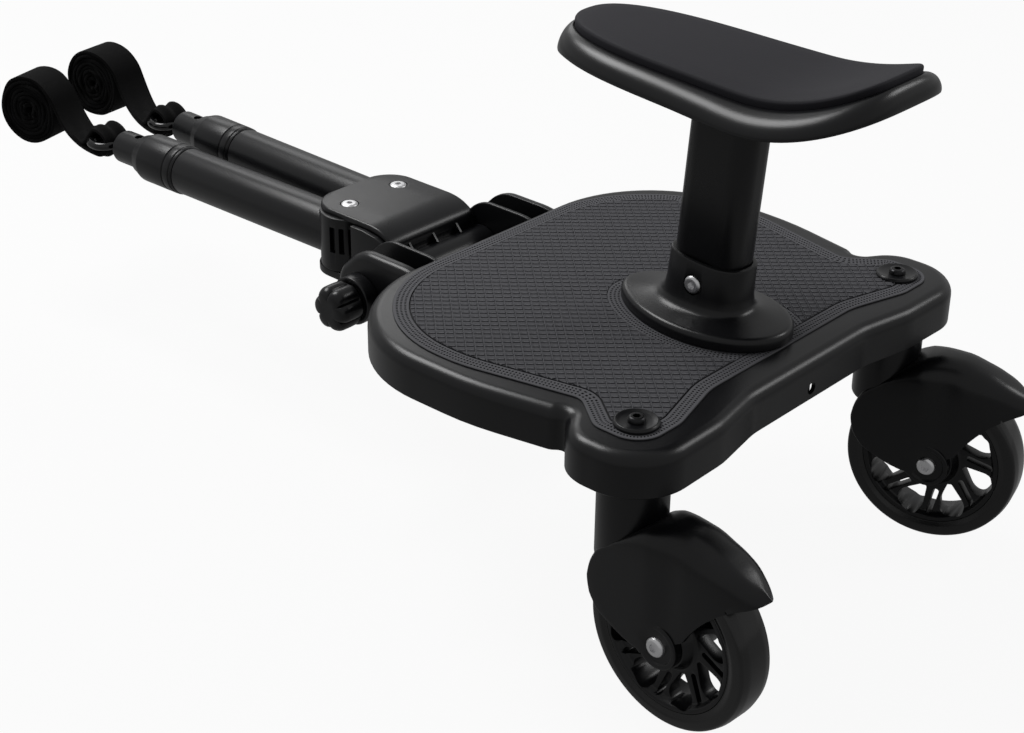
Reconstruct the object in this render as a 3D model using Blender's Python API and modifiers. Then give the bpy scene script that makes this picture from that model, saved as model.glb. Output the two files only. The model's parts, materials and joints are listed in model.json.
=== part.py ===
"""Stroller ride-on seat: a wheeled footboard with a saddle seat and two telescopic arms with strap rolls.

Metres, +Z up, +Y towards the arms, +X to the right of a child who faces the arms. The origin is the top of the mat
where the feet stand. Each piece is one object, and a moving piece hangs under an empty on its joint's axis.
"""

import math

import bpy
import bmesh
from mathutils import Matrix, Vector

# Clearances
GAP = 0.0003
SLIDE = 0.0004
TURN = 0.0005

# Casters and wheels
CASTER_Y = -0.165
TRAIL = 0.0407
SWIVEL = {"left": math.radians(-2.7), "right": math.radians(14.7)}
WHEEL_RADIUS = 0.060
TYRE_WIDTH = 0.027
TYRE_SEAT_RADIUS = 0.048
RIM_WIDTH = 0.022
RIM_WALL = 0.0038
HUB_RADIUS = 0.0165
HUB_WIDTH = 0.0304
WEB_THICKNESS = 0.009
WINDOWS = 8
WINDOW_INNER = 0.0235
WINDOW_OUTER = 0.0425
WINDOW_ROUND = 0.0052
WINDOW_SWEEP = math.radians(14)
SLOT_WIDTH = 0.0030
BEARING_RADIUS = 0.0095
BEARING_WIDTH = 0.005
WINDOW_START = {"left": math.radians(22), "right": math.radians(30)}
AXLE_RADIUS = 0.004
AXLE_HEAD_RADIUS = 0.0056
AXLE_HEAD_HEIGHT = 0.0032
NUT_RADIUS = 0.0072
NUT_HEIGHT = 0.0045

# Caster fork
FORK_WIDTH = 0.040
FORK_PLATE = 0.0045
STEM_RADIUS = 0.022
STEM_FOOT_DROP = 0.090
SPIGOT_RADIUS = 0.0097
CROWN_RADIUS = 0.081
CROWN_ROUND = 0.009
HOOD_WALL = 0.003
WHEEL_ROOM = 0.0035
AXLE_BOSS_RADIUS = 0.019
HOOD_BACK = math.radians(129)
HOOD_TIP = math.radians(140.5)
BUSH_WALL = 0.0030
PIVOT_SCREW_RADIUS = 0.004
PIVOT_SCREW_DEPTH = 0.062
PIVOT_HEAD_RADIUS = 0.0052
PIVOT_HEAD_HEIGHT = 0.0030
WASHER_RADIUS = 0.0139
WASHER_HEIGHT = 0.0030
WASHER_SIDES = 16

# Deck and mat
MAT_THICKNESS = 0.0020
MAT_PROUD = 0.0010
DECK_HALF_WIDTH = 0.171
DECK_FRONT = 0.082
DECK_REAR = 0.0285
DECK_DEPTH = 0.029
DECK_EDGE = 0.009
DECK_WALL = 0.0028
DECK_PLATE = 0.0030
FRONT_CORNER = 0.095
LOBE_RADIUS = 0.0375
CASTER_INSET = 0.0335
MAT_MARGIN = 0.0185
MAT_FRONT_MARGIN = 0.011
MAT_LOBE = 0.0185
MAT_REAR = 0.006
RIB = 0.0020
RIB_DEPTH = 0.019
RIB_COLUMNS = 4
RIB_ROWS = 4
REAR_HOLE_RADIUS = 0.004
REAR_HOLE_DROP = 0.021
DECK_SIDE_CURVE = 0.200
MAT_SIDE_CURVE = 0.110
MAT_CLEAR = 0.0005

# Front hinge
HINGE_Y = 0.129
HINGE_DROP = 0.039
EAR_INNER = 0.0465
EAR_OUTER = 0.077
FIN_THICKNESS = 0.0030
HINGE_BOLT_RADIUS = 0.004
EAR_BOSS_RADIUS = 0.014
KNOB_WASHER_RADIUS = 0.0175
KNOB_WASHER_WIDTH = 0.0107
KNOB_RADIUS = 0.0170
KNOB_LOBE = 0.0014
KNOB_LOBES = 6
KNOB_WIDTH = 0.0215
KNOB_SKIN = 0.0060

# Connector
BODY_HALF_WIDTH = 0.046
BODY_BACK = 0.006
BODY_FRONT = 0.044
BODY_FLOOR = 0.018
FLOOR_THICKNESS = 0.006
COVER_HALF_WIDTH = 0.042
COVER_TOP = 0.034
COVER_THICKNESS = 0.0035
COVER_FRONT = 0.092
COVER_CORNER = 0.022
BARREL_RADIUS = 0.015
RIB_PITCH = 0.024

# Arms
ARM_X = 0.0247
ARM_Y = 0.0667
ARM_RISE = 0.009
ARM_SPLAY = math.radians(1.3)
ROOT_RADIUS = 0.022
TUBE_RADIUS = 0.0185
TUBE_LENGTH = 0.195
TUBE_BORE = 0.0130
ROD_RADIUS = 0.0125
ROD_LENGTH = 0.160
ROD_SHOWN = 0.0245
COLLAR_RADIUS = 0.0195
COLLAR_LENGTH = 0.048
COLLAR_NECK = 0.0095
COLLET_RADIUS = 0.0141
COLLET_SET_BACK = 0.0010
SPIGOT_STEP = 0.0023
PIVOT_BOLT_RADIUS = 0.004
PIVOT_BOLT_HEAD = 0.0058
PIVOT_BOLT_RISE = 0.0026
PIN_RADIUS = 0.0027
PIN_SET_BACK = 0.0200

# Strap eye and strap
EYE_BAR = 0.0034
EYE_HALF_WIDTH = 0.0155
EYE_HALF_LENGTH = 0.0105
EYE_CORNER = 0.008
EYE_REACH = 0.0190
EYE_SHANK = 0.004
EYE_SHANK_DEPTH = 0.012
STRAP_WIDTH = 0.031
STRAP_GATHERED = 0.0176
STRAP_THICKNESS = 0.0026
STRAP_PITCH = 0.0033
ROLL_CORE = 0.0060
ROLL_RADIUS = 0.0290
ROLL_STEPS = 14
ROLL_PLACE = {"left": (-0.001, 0.0722, 0.0075), "right": (0.005, 0.0790, 0.0100)}
ROLL_YAW = {"left": math.radians(14), "right": math.radians(10)}
STRAP_END = 0.030

# Seat
SEAT_Y = -0.111
SEAT_ROOT = 0.014
SEAT_LEAN = math.radians(4.2)
FLANGE_FRONT = -0.045
FLANGE_REAR = -0.171
FLANGE_WIDE = 0.0395
FLANGE_HEIGHT = 0.0095
BASE_RING_POINTS = 20
COLLAR_HALF_X = 0.020
COLLAR_HALF_Y = 0.029
COLLAR_TOP = 0.032
POST_HALF_X = 0.016
POST_HALF_Y = 0.025
POST_ROUND = 0.0135
POST_WALL = 0.0028
POST_FLOOR = 0.0060
POST_TOP = 0.1500
SEAT_BOLT_Z = 0.030
SEAT_BOLT_RADIUS = 0.003
SEAT_BOLT_HEAD = 0.0056
SEAT_BOLT_RISE = 0.0030
SEAT_CENTRE = -0.1185
SEAT_HALF_LENGTH = 0.1315
SEAT_NARROW = 0.059
SEAT_WIDE = 0.072
PAD_CENTRE = -0.120
PAD_HALF_LENGTH = 0.120
PAD_NARROW = 0.043
PAD_WIDE = 0.048
SADDLE_LOW = 0.172
SADDLE_Y = -0.160
SHELL_WALL = 0.0030
SHELL_DROP = 0.0130
PAD_RECESS = 0.0025
PAD_CROWN = 0.0045
PAD_SEAT_GAP = 0.0005
SHELL_RING_POINTS = 24
SCREW_RADIUS = 0.0020
SCREW_HEAD = 0.0038

SIDES = {"left": -1, "right": 1}
SMOOTH_ANGLE = math.radians(32)

# Looks: colour, roughness, metallic
FINISHES = {
    "satin_plastic": ((0.020, 0.020, 0.022), 0.42, 0.0),
    "mat_rubber": ((0.035, 0.035, 0.038), 0.80, 0.0),
    "pad_foam": ((0.022, 0.022, 0.024), 0.85, 0.0),
    "gloss_plastic": ((0.012, 0.012, 0.013), 0.15, 0.0),
    "tyre": ((0.014, 0.014, 0.015), 0.25, 0.0),
    "webbing": ((0.010, 0.010, 0.011), 0.90, 0.0),
    "silver_steel": ((0.62, 0.62, 0.63), 0.28, 1.0),
    "black_steel": ((0.03, 0.03, 0.03), 0.35, 1.0),
}


def new_collection(name):
    """A collection linked to the scene."""
    made = bpy.data.collections.new(name)
    bpy.context.scene.collection.children.link(made)
    return made


for leftover in list(bpy.data.objects):
    bpy.data.objects.remove(leftover, do_unlink=True)
PIECES = new_collection("stroller_ride_on_seat")
CUTTERS = new_collection("cutters")


def finish(name):
    """The Principled material of one finish."""
    if name in bpy.data.materials:
        return bpy.data.materials[name]
    colour, roughness, metallic = FINISHES[name]
    made = bpy.data.materials.new(name)
    made.use_nodes = True
    shader = made.node_tree.nodes["Principled BSDF"]
    shader.inputs["Base Color"].default_value = (*colour, 1.0)
    shader.inputs["Roughness"].default_value = roughness
    shader.inputs["Metallic"].default_value = metallic
    return made


# Outlines

def rounded(corners, turn=math.radians(23)):
    """Closed outline through corners (x, y, radius), each rounded by an arc."""
    points = []
    for index, corner in enumerate(corners):
        here = Vector(corner[:2])
        if len(corner) < 3:
            points.append(here)
            continue
        before = (Vector(corners[index - 1][:2]) - here).normalized()
        after = (Vector(corners[(index + 1) % len(corners)][:2]) - here).normalized()
        half = before.angle(after) / 2
        centre = here + (before + after).normalized() * corner[2] / math.sin(half)
        start = here + before * corner[2] / math.tan(half) - centre
        end = here + after * corner[2] / math.tan(half) - centre
        sweep = math.atan2(start.cross(end), start.dot(end))
        steps = max(1, math.ceil(abs(sweep) / turn))
        for step in range(steps + 1):
            points.append(centre + Matrix.Rotation(sweep * step / steps, 2) @ start)
    return points


def both_sides(right_corners):
    """The right half's corners, front to rear, followed by their mirror images."""
    return right_corners + [(-corner[0], *corner[1:]) for corner in reversed(right_corners)]


def moved_out(outline, distance):
    """An outline moved out by a distance, or in where it is negative."""
    area = sum(a.cross(b) for a, b in zip(outline, outline[1:] + outline[:1]))
    side = distance * math.copysign(1, area)
    moved = []
    for index, point in enumerate(outline):
        before = (point - outline[index - 1]).normalized()
        after = (outline[(index + 1) % len(outline)] - point).normalized()
        bisector = Vector((before.y + after.y, -before.x - after.x)).normalized()
        moved.append(point + bisector * side / max(0.5, bisector.dot(Vector((after.y, -after.x)))))
    return moved


def ring(half_x, half_y, power, count):
    """Superellipse outline of count points."""
    points = []
    for index in range(count):
        angle = math.tau * index / count
        across = math.copysign(abs(math.cos(angle)) ** (2 / power), math.cos(angle))
        along = math.copysign(abs(math.sin(angle)) ** (2 / power), math.sin(angle))
        points.append(Vector((half_x * across, half_y * along)))
    return points


# Meshes

def mesh_of(working, name):
    """The evaluated, welded mesh of a temporary object, which is removed."""
    PIECES.objects.link(working)
    bpy.context.view_layer.update()
    evaluated = working.evaluated_get(bpy.context.evaluated_depsgraph_get())
    mesh = bpy.data.meshes.new_from_object(evaluated)
    mesh.name = name
    mesh.transform(working.matrix_world)
    bpy.data.objects.remove(working, do_unlink=True)
    welded = bmesh.new()
    welded.from_mesh(mesh)
    bmesh.ops.remove_doubles(welded, verts=welded.verts, dist=0.00001)
    welded.to_mesh(mesh)
    welded.free()
    return mesh


def facing_out(made):
    """Turn all faces of a closed skin outwards."""
    bmesh.ops.recalc_face_normals(made, faces=made.faces)
    if made.calc_volume(signed=True) < 0:
        bmesh.ops.reverse_faces(made, faces=made.faces)


def prism(name, outline, low, high, rim=0.0, foot=0.0, steps=3):
    """A flat outline extruded from low to high, with a rounded rim above and foot below."""
    curve = bpy.data.curves.new(name, "CURVE")
    curve.dimensions = "2D"
    curve.fill_mode = "BOTH"
    curve.extrude = (high - low) / 2
    spline = curve.splines.new("POLY")
    spline.points.add(len(outline) - 1)
    for control, point in zip(spline.points, outline):
        control.co = (point[0], point[1], 0, 1)
    spline.use_cyclic_u = True
    working = bpy.data.objects.new(name, curve)
    working.location.z = (low + high) / 2
    mesh = mesh_of(working, name)
    shaped = bmesh.new()
    shaped.from_mesh(mesh)
    bmesh.ops.dissolve_limit(shaped, angle_limit=math.radians(0.4), verts=shaped.verts, edges=shaped.edges)
    for level, radius in ((high, rim), (low, foot)):
        edges = [e for e in shaped.edges if all(abs(v.co.z - level) < GAP / 10 for v in e.verts)]
        if radius:
            bmesh.ops.bevel(shaped, geom=edges, offset=radius, segments=steps, profile=0.5,
                            affect="EDGES", clamp_overlap=False)
    facing_out(shaped)
    shaped.to_mesh(mesh)
    shaped.free()
    return mesh


def turned(name, profile, steps=32):
    """A profile of (radius, height), down its outer side, turned round Z; hollow ones are closed loops."""
    mesh = bpy.data.meshes.new(name)
    links = [(index, index + 1) for index in range(len(profile) - 1)]
    if profile[0][0] > 0:
        links.append((len(profile) - 1, 0))
    mesh.from_pydata([(radius, 0, height) for radius, height in profile], links, [])
    working = bpy.data.objects.new(name, mesh)
    screw = working.modifiers.new("turn", "SCREW")
    screw.steps = steps
    screw.render_steps = steps
    screw.use_merge_vertices = True
    screw.merge_threshold = 0.00001
    return mesh_of(working, name)


def rod(name, radius, low, high, sides=24):
    """A plain cylinder along Z from low to high."""
    mesh = bpy.data.meshes.new(name)
    made = bmesh.new()
    middle = Matrix.Translation((0, 0, (low + high) / 2))
    bmesh.ops.create_cone(made, cap_ends=True, segments=sides, radius1=radius, radius2=radius,
                          depth=high - low, matrix=middle)
    made.to_mesh(mesh)
    made.free()
    return mesh


def block(name, low, high):
    """A box between two opposite corners."""
    mesh = bpy.data.meshes.new(name)
    made = bmesh.new()
    size = Vector(high) - Vector(low)
    centre = (Vector(high) + Vector(low)) / 2
    bmesh.ops.create_cube(made, size=1, matrix=Matrix.Translation(centre) @ Matrix.Diagonal((*size, 1)))
    made.to_mesh(mesh)
    made.free()
    return mesh


def loft(name, sections):
    """A closed skin over sections of the same number of points, with both ends capped."""
    mesh = bpy.data.meshes.new(name)
    made = bmesh.new()
    rings = [[made.verts.new(point) for point in section] for section in sections]
    for near, far in zip(rings, rings[1:]):
        for index in range(len(near)):
            after = (index + 1) % len(near)
            made.faces.new((near[index], near[after], far[after], far[index]))
    made.faces.new(list(reversed(rings[0])))
    made.faces.new(rings[-1])
    facing_out(made)
    made.to_mesh(mesh)
    made.free()
    return mesh


def gathered(name, *meshes):
    """Several meshes in one, their bodies still separate."""
    made = bmesh.new()
    for mesh in meshes:
        made.from_mesh(mesh)
    mesh = bpy.data.meshes.new(name)
    made.to_mesh(mesh)
    made.free()
    return mesh


def shifted(mesh, x=0.0, y=0.0, z=0.0):
    """The same mesh, moved."""
    mesh.transform(Matrix.Translation((x, y, z)))
    return mesh


def copied(mesh, *changes):
    """A copy of a mesh, moved by the given matrices."""
    copy = mesh.copy()
    for change in changes:
        copy.transform(change)
    return copy


def along_x(mesh):
    """The same mesh with its Z turned to X, its X to Y and its Y to Z."""
    mesh.transform(Matrix(((0, 0, 1, 0), (1, 0, 0, 0), (0, 1, 0, 0), (0, 0, 0, 1))))
    return mesh


def along_y(mesh):
    """The same mesh with its Z turned to Y."""
    mesh.transform(Matrix.Rotation(math.radians(-90), 4, "X"))
    return mesh


# Objects

def empty(name, location, parent=None, turn=0.0):
    """An empty on a joint's axis."""
    made = bpy.data.objects.new(name, None)
    PIECES.objects.link(made)
    made.parent = parent
    made.location = location
    made.rotation_euler.z = turn
    made.empty_display_size = 0.02
    return made


def piece(name, mesh, look, parent=None, location=(0, 0, 0)):
    """One named piece of the object."""
    made = bpy.data.objects.new(name, mesh)
    PIECES.objects.link(made)
    made.parent = parent
    made.location = location
    mesh.materials.clear()
    mesh.materials.append(finish(look))
    mesh.shade_smooth()
    mesh.set_sharp_from_angle(angle=SMOOTH_ANGLE)
    return made


def change(target, operation, mesh):
    """Join a mesh to a piece or cut it out, in the piece's own frame, and return the tool."""
    tool = bpy.data.objects.new(mesh.name, mesh)
    CUTTERS.objects.link(tool)
    tool.parent = target.parent
    tool.location = target.location
    tool.display_type = "WIRE"
    tool.hide_render = True
    mesh.shade_smooth()
    mesh.set_sharp_from_angle(angle=SMOOTH_ANGLE)
    boolean = target.modifiers.new(mesh.name, "BOOLEAN")
    boolean.operation = operation
    boolean.object = tool
    return tool


def join(target, *meshes):
    """Union meshes with a piece."""
    for mesh in meshes:
        change(target, "UNION", mesh)


def cut(target, *meshes):
    """Cut meshes out of a piece."""
    for mesh in meshes:
        change(target, "DIFFERENCE", mesh)


def mirrored_x(mesh):
    """A mirror image across X = 0."""
    copy = mesh.copy()
    copy.transform(Matrix.Scale(-1, 4, (1, 0, 0)))
    copy.flip_normals()
    return copy


# Places and levels that several pieces share
CASTER_X = DECK_HALF_WIDTH - CASTER_INSET
DECK_TOP = -MAT_PROUD
MAT_FLOOR = -MAT_THICKNESS - GAP
PLATE_UNDER = MAT_FLOOR - DECK_PLATE
SKIRT_FOOT = -DECK_DEPTH
GROUND = -0.186
AXLE_Z = GROUND + WHEEL_RADIUS
HINGE = Vector((0, HINGE_Y, -HINGE_DROP))


def deck_outline():
    """Plan of the platform, from the right front corner round to the left one."""
    return rounded(both_sides([
        (DECK_HALF_WIDTH, DECK_FRONT, FRONT_CORNER),
        (DECK_HALF_WIDTH - 0.0015, CASTER_Y + 0.105, DECK_SIDE_CURVE),
        (CASTER_X + 0.020, CASTER_Y + 0.048, 0.010),
        (CASTER_X + 0.013, CASTER_Y + 0.0405, 0.006),
        (CASTER_X + LOBE_RADIUS, CASTER_Y + 0.024, 0.030),
        (CASTER_X + LOBE_RADIUS, CASTER_Y - LOBE_RADIUS, LOBE_RADIUS),
        (CASTER_X - LOBE_RADIUS, CASTER_Y - LOBE_RADIUS + 0.0015, 0.060),
        (CASTER_X - 0.0775, CASTER_Y - DECK_REAR, 0.060),
    ]), math.radians(20))


def mat_outline():
    """Plan of the mat, with a lobe round each caster washer."""
    side = DECK_HALF_WIDTH - MAT_MARGIN
    return rounded(both_sides([
        (side, DECK_FRONT - MAT_FRONT_MARGIN, FRONT_CORNER),
        (side, CASTER_Y + 0.125, MAT_SIDE_CURVE),
        (CASTER_X - 0.001, CASTER_Y + 0.043, 0.012),
        (CASTER_X + MAT_LOBE, CASTER_Y + 0.017, 0.014),
        (CASTER_X + MAT_LOBE, CASTER_Y - MAT_LOBE, MAT_LOBE),
        (CASTER_X - MAT_LOBE, CASTER_Y - MAT_LOBE, 0.030),
        (CASTER_X - 0.0625, CASTER_Y - MAT_REAR, 0.050),
    ]), math.radians(24))


def base_screw_places():
    """Where the four screws of the seat base stand."""
    front = FLANGE_FRONT - 0.024
    rear = FLANGE_REAR + 0.026
    return [(-0.021, front), (0.021, front), (-0.028, rear), (0.028, rear)]


def ear_profile():
    """Side view of an ear as (Y, Z), out from the deck, round the hinge and back."""
    low = HINGE.z
    return rounded([
        (DECK_FRONT - 0.014, low + 0.0355),
        (HINGE_Y - 0.008, low + 0.0360, 0.030),
        (HINGE_Y + 0.029, low + 0.0170, 0.022),
        (HINGE_Y + 0.031, low - 0.0130, 0.020),
        (HINGE_Y - 0.003, low - 0.0240, 0.020),
        (DECK_FRONT - 0.002, low + 0.0060, 0.012),
        (DECK_FRONT - 0.014, low + 0.0105),
    ], math.radians(30))


def leave_ribs(hollow):
    """Keep the ribs and the bosses of the stem bushes out of the cutter that hollows the deck."""
    reach = DECK_HALF_WIDTH
    rear = CASTER_Y - DECK_REAR
    foot = PLATE_UNDER - RIB_DEPTH
    for column in range(1, RIB_COLUMNS):
        x = -reach + 2 * reach * column / RIB_COLUMNS
        cut(hollow, block("rib_along", (x - RIB / 2, -1, foot), (x + RIB / 2, 1, 0.01)))
    for row in range(1, RIB_ROWS):
        y = rear + (DECK_FRONT - rear) * row / RIB_ROWS
        cut(hollow, block("rib_across", (-1, y - RIB / 2, foot), (1, y + RIB / 2, 0.01)))
    boss_radius = SPIGOT_RADIUS + 2 * SLIDE + BUSH_WALL + DECK_WALL
    for side in SIDES.values():
        boss = rod("caster_boss", boss_radius, SKIRT_FOOT - GAP / 10, 0.01, 16)
        cut(hollow, shifted(boss, side * CASTER_X, CASTER_Y))


def make_platform():
    """The moulded footboard: skirt, hollow underside with ribs, caster bosses and hinge ears."""
    outline = deck_outline()
    body = piece("platform", prism("platform", outline, SKIRT_FOOT, DECK_TOP, rim=DECK_EDGE, steps=2),
                 "satin_plastic")
    inside = moved_out(outline, -DECK_WALL)
    hollow = prism("deck_hollow", inside, SKIRT_FOOT - 0.01, PLATE_UNDER)
    leave_ribs(change(body, "DIFFERENCE", hollow))
    pocket = prism("mat_pocket", moved_out(mat_outline(), SLIDE), MAT_FLOOR, 0.01)
    cut(body, pocket)

    # Ears: a block between the inner and outer fin, opened to a pocket from above
    profile = ear_profile()
    opened = moved_out(profile, -FIN_THICKNESS)
    raised = [Vector((p.x, p.y + (0.02 if p.y > HINGE.z + 0.004 else 0.0))) for p in opened]
    for side in SIDES.values():
        ends = sorted((side * EAR_INNER, side * EAR_OUTER))
        join(body, along_x(prism("ear", profile, *ends)))
    for side in SIDES.values():
        ends = sorted((side * (EAR_INNER + FIN_THICKNESS), side * (EAR_OUTER - FIN_THICKNESS)))
        pocket_ends = [p for p in raised if p.x > DECK_FRONT + 0.004]
        cut(body, along_x(prism("ear_pocket", pocket_ends, *ends)))
    for side in SIDES.values():
        ends = sorted((side * (EAR_INNER + 0.001), side * (EAR_OUTER - 0.001)))
        join(body, shifted(along_x(rod("ear_boss", EAR_BOSS_RADIUS, *ends, 18)), y=HINGE.y, z=HINGE.z))
    bore = rod("ear_bore", HINGE_BOLT_RADIUS + SLIDE, -EAR_OUTER - 0.01, EAR_OUTER + 0.01, 16)
    cut(body, shifted(along_x(bore), y=HINGE.y, z=HINGE.z))

    # Bores for the stem bushes and the screws
    bush_radius = SPIGOT_RADIUS + SLIDE + BUSH_WALL
    for side in SIDES.values():
        bore = rod("bush_bore", bush_radius + SLIDE, SKIRT_FOOT - 0.01, PLATE_UNDER, 16)
        cut(body, shifted(bore, side * CASTER_X, CASTER_Y))
        hole = rod("pivot_hole", PIVOT_SCREW_RADIUS + SLIDE, SKIRT_FOOT, 0.01, 12)
        cut(body, shifted(hole, side * CASTER_X, CASTER_Y))
    for x, y in base_screw_places():
        cut(body, shifted(rod("base_screw_hole", SCREW_RADIUS + SLIDE, -0.012, 0.01, 8), x, y))
    rear = CASTER_Y - DECK_REAR
    rear_hole = along_y(rod("rear_hole", REAR_HOLE_RADIUS, rear - 0.01, rear + 0.01, 10))
    cut(body, shifted(rear_hole, z=-REAR_HOLE_DROP))


def make_mat():
    """The mat in its pocket, cut out round the seat base and the caster washers."""
    mat = piece("anti_slip_mat", prism("anti_slip_mat", mat_outline(), MAT_FLOOR + GAP, 0.0), "mat_rubber")
    for side in SIDES.values():
        hole = rod("mat_washer_hole", WASHER_RADIUS + MAT_CLEAR, -0.01, 0.01, WASHER_SIDES)
        cut(mat, shifted(hole, side * CASTER_X, CASTER_Y))
    cut(mat, prism("mat_base_hole", flange_ring(-MAT_CLEAR, 0, BASE_RING_POINTS), -0.01, 0.01))


def make_caster_mounts():
    """Washers and pivot screws on the deck, and the bushes under it."""
    washer = turned("washer", [
        (PIVOT_SCREW_RADIUS + SLIDE, WASHER_HEIGHT), (PIVOT_HEAD_RADIUS + 0.0015, WASHER_HEIGHT),
        (WASHER_RADIUS - 0.003, WASHER_HEIGHT * 0.86), (WASHER_RADIUS, WASHER_HEIGHT * 0.35),
        (WASHER_RADIUS, MAT_FLOOR + GAP), (PIVOT_SCREW_RADIUS + SLIDE, MAT_FLOOR + GAP)], WASHER_SIDES)
    seat = WASHER_HEIGHT + GAP
    screw = turned("pivot_screw", [
        (0, seat + PIVOT_HEAD_HEIGHT), (PIVOT_HEAD_RADIUS * 0.7, seat + PIVOT_HEAD_HEIGHT),
        (PIVOT_HEAD_RADIUS, seat + PIVOT_HEAD_HEIGHT / 3), (PIVOT_HEAD_RADIUS, seat),
        (PIVOT_SCREW_RADIUS, seat), (PIVOT_SCREW_RADIUS, -PIVOT_SCREW_DEPTH), (0, -PIVOT_SCREW_DEPTH)], 12)
    bush_radius = SPIGOT_RADIUS + SLIDE + BUSH_WALL
    for name, side in SIDES.items():
        bush = turned("bush", [
            (bush_radius, PLATE_UNDER - GAP), (bush_radius, SKIRT_FOOT),
            (bush_radius - BUSH_WALL, SKIRT_FOOT), (bush_radius - BUSH_WALL, PLATE_UNDER - GAP)], 16)
        place = (side * CASTER_X, CASTER_Y, 0)
        piece(f"stem_bush_{name}", bush, "satin_plastic", location=place)
        piece(f"caster_washer_{name}", washer.copy(), "satin_plastic", location=place)
        piece(f"caster_pivot_screw_{name}", screw.copy(), "black_steel", location=place)


# Caster: hood and fork

def hood_radius(angle):
    """Outer radius of the hood from the axle at an angle from forward, in the side view."""
    front = ((-32, 0.0230), (-16, 0.0340), (-7, 0.0450), (7, 0.0540), (18, 0.0610), (32, 0.0740),
             (42, CROWN_RADIUS), (124, CROWN_RADIUS), (130, 0.0805), (141, 0.0840))
    degrees = math.degrees(angle)
    for (low, inner), (high, outer) in zip(front, front[1:]):
        if degrees <= high:
            return inner + (outer - inner) * (degrees - low) / (high - low)
    return front[-1][1]


def hood_section(angle):
    """Section of the hood in the plane at an angle from forward, as points round its outside."""
    radius = hood_radius(angle)
    half = FORK_WIDTH / 2
    taper = (angle - math.radians(112)) / (HOOD_TIP - math.radians(112))
    if taper > 0:
        half *= math.sqrt(max(0.03, 1 - taper ** 2.6))
    low = 0.006
    if angle > HOOD_BACK:
        low = 0.060 + 0.021 * (angle - HOOD_BACK) / (HOOD_TIP - HOOD_BACK)
    edge = min(CROWN_ROUND, half * 0.8, (radius - low) * 0.6)
    flank = [(half, low)]
    for step in range(3):
        bend = math.radians(90) * step / 2
        flank.append((half - edge + edge * math.cos(bend), radius - edge + edge * math.sin(bend)))
    flank.append((0, radius + 0.0008))
    outline = flank + [(-x, r) for x, r in reversed(flank[:-1])]
    return [Vector((x, r * math.cos(angle), r * math.sin(angle))) for x, r in outline]


def make_fork(name, swivel_axis):
    """Stem, hood and fork legs in one moulding, in the caster's own frame."""
    axle = Vector((0, -TRAIL, AXLE_Z))
    degrees = [-32, -7, 7, 18, 32, 42, 63, 84, 105, 121, 128.5, 130, 136, 140.5]
    hood = loft("hood", [hood_section(math.radians(value)) for value in degrees])
    fork = piece(f"caster_fork_{name}", shifted(hood, *axle), "satin_plastic", swivel_axis)
    stem_top = SKIRT_FOOT - GAP
    spigot_top = PLATE_UNDER - GAP
    stem = turned("stem", [
        (0, spigot_top), (SPIGOT_RADIUS - 0.0008, spigot_top), (SPIGOT_RADIUS, spigot_top - 0.0008),
        (SPIGOT_RADIUS, stem_top), (STEM_RADIUS - 0.001, stem_top), (STEM_RADIUS, stem_top - 0.001),
        (STEM_RADIUS, -STEM_FOOT_DROP), (0, -STEM_FOOT_DROP)], 18)
    join(fork, stem)
    join(fork, shifted(along_x(rod("axle_boss", AXLE_BOSS_RADIUS, -FORK_WIDTH / 2, FORK_WIDTH / 2, 16)), *axle))
    inner = FORK_WIDTH / 2 - FORK_PLATE
    room = WHEEL_RADIUS + WHEEL_ROOM
    cut(fork, shifted(along_x(rod("wheel_room", room, -inner, inner, 20)), *axle))
    reach = CROWN_RADIUS - HOOD_WALL
    behind = STEM_RADIUS + HOOD_WALL - TRAIL
    first = math.acos(-behind / reach)
    vault = [Vector((-behind, 0.0))]
    for step in range(8):
        angle = first + (math.radians(160) - first) * step / 7
        vault.append(Vector((reach * math.cos(angle), reach * math.sin(angle))))
    cut(fork, shifted(along_x(prism("hood_room", vault, -inner + 0.0008, inner - 0.0008)), *axle))
    cut(fork, shifted(along_x(rod("axle_bore", AXLE_RADIUS + SLIDE, -0.03, 0.03, 12)), *axle))
    cut(fork, rod("pivot_bore", PIVOT_SCREW_RADIUS + SLIDE, -PIVOT_SCREW_DEPTH - 0.001, 0, 12))
    return axle


def window_outline():
    """One teardrop window of the wheel, point inwards, as (radius, along the rim)."""
    tip = 0.0016
    return rounded([
        (WINDOW_INNER, -tip, tip * 0.8), (WINDOW_OUTER, -WINDOW_ROUND, WINDOW_ROUND * 0.75),
        (WINDOW_OUTER, WINDOW_ROUND, WINDOW_ROUND * 0.75), (WINDOW_INNER, tip, tip * 0.8)], math.radians(91))


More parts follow.
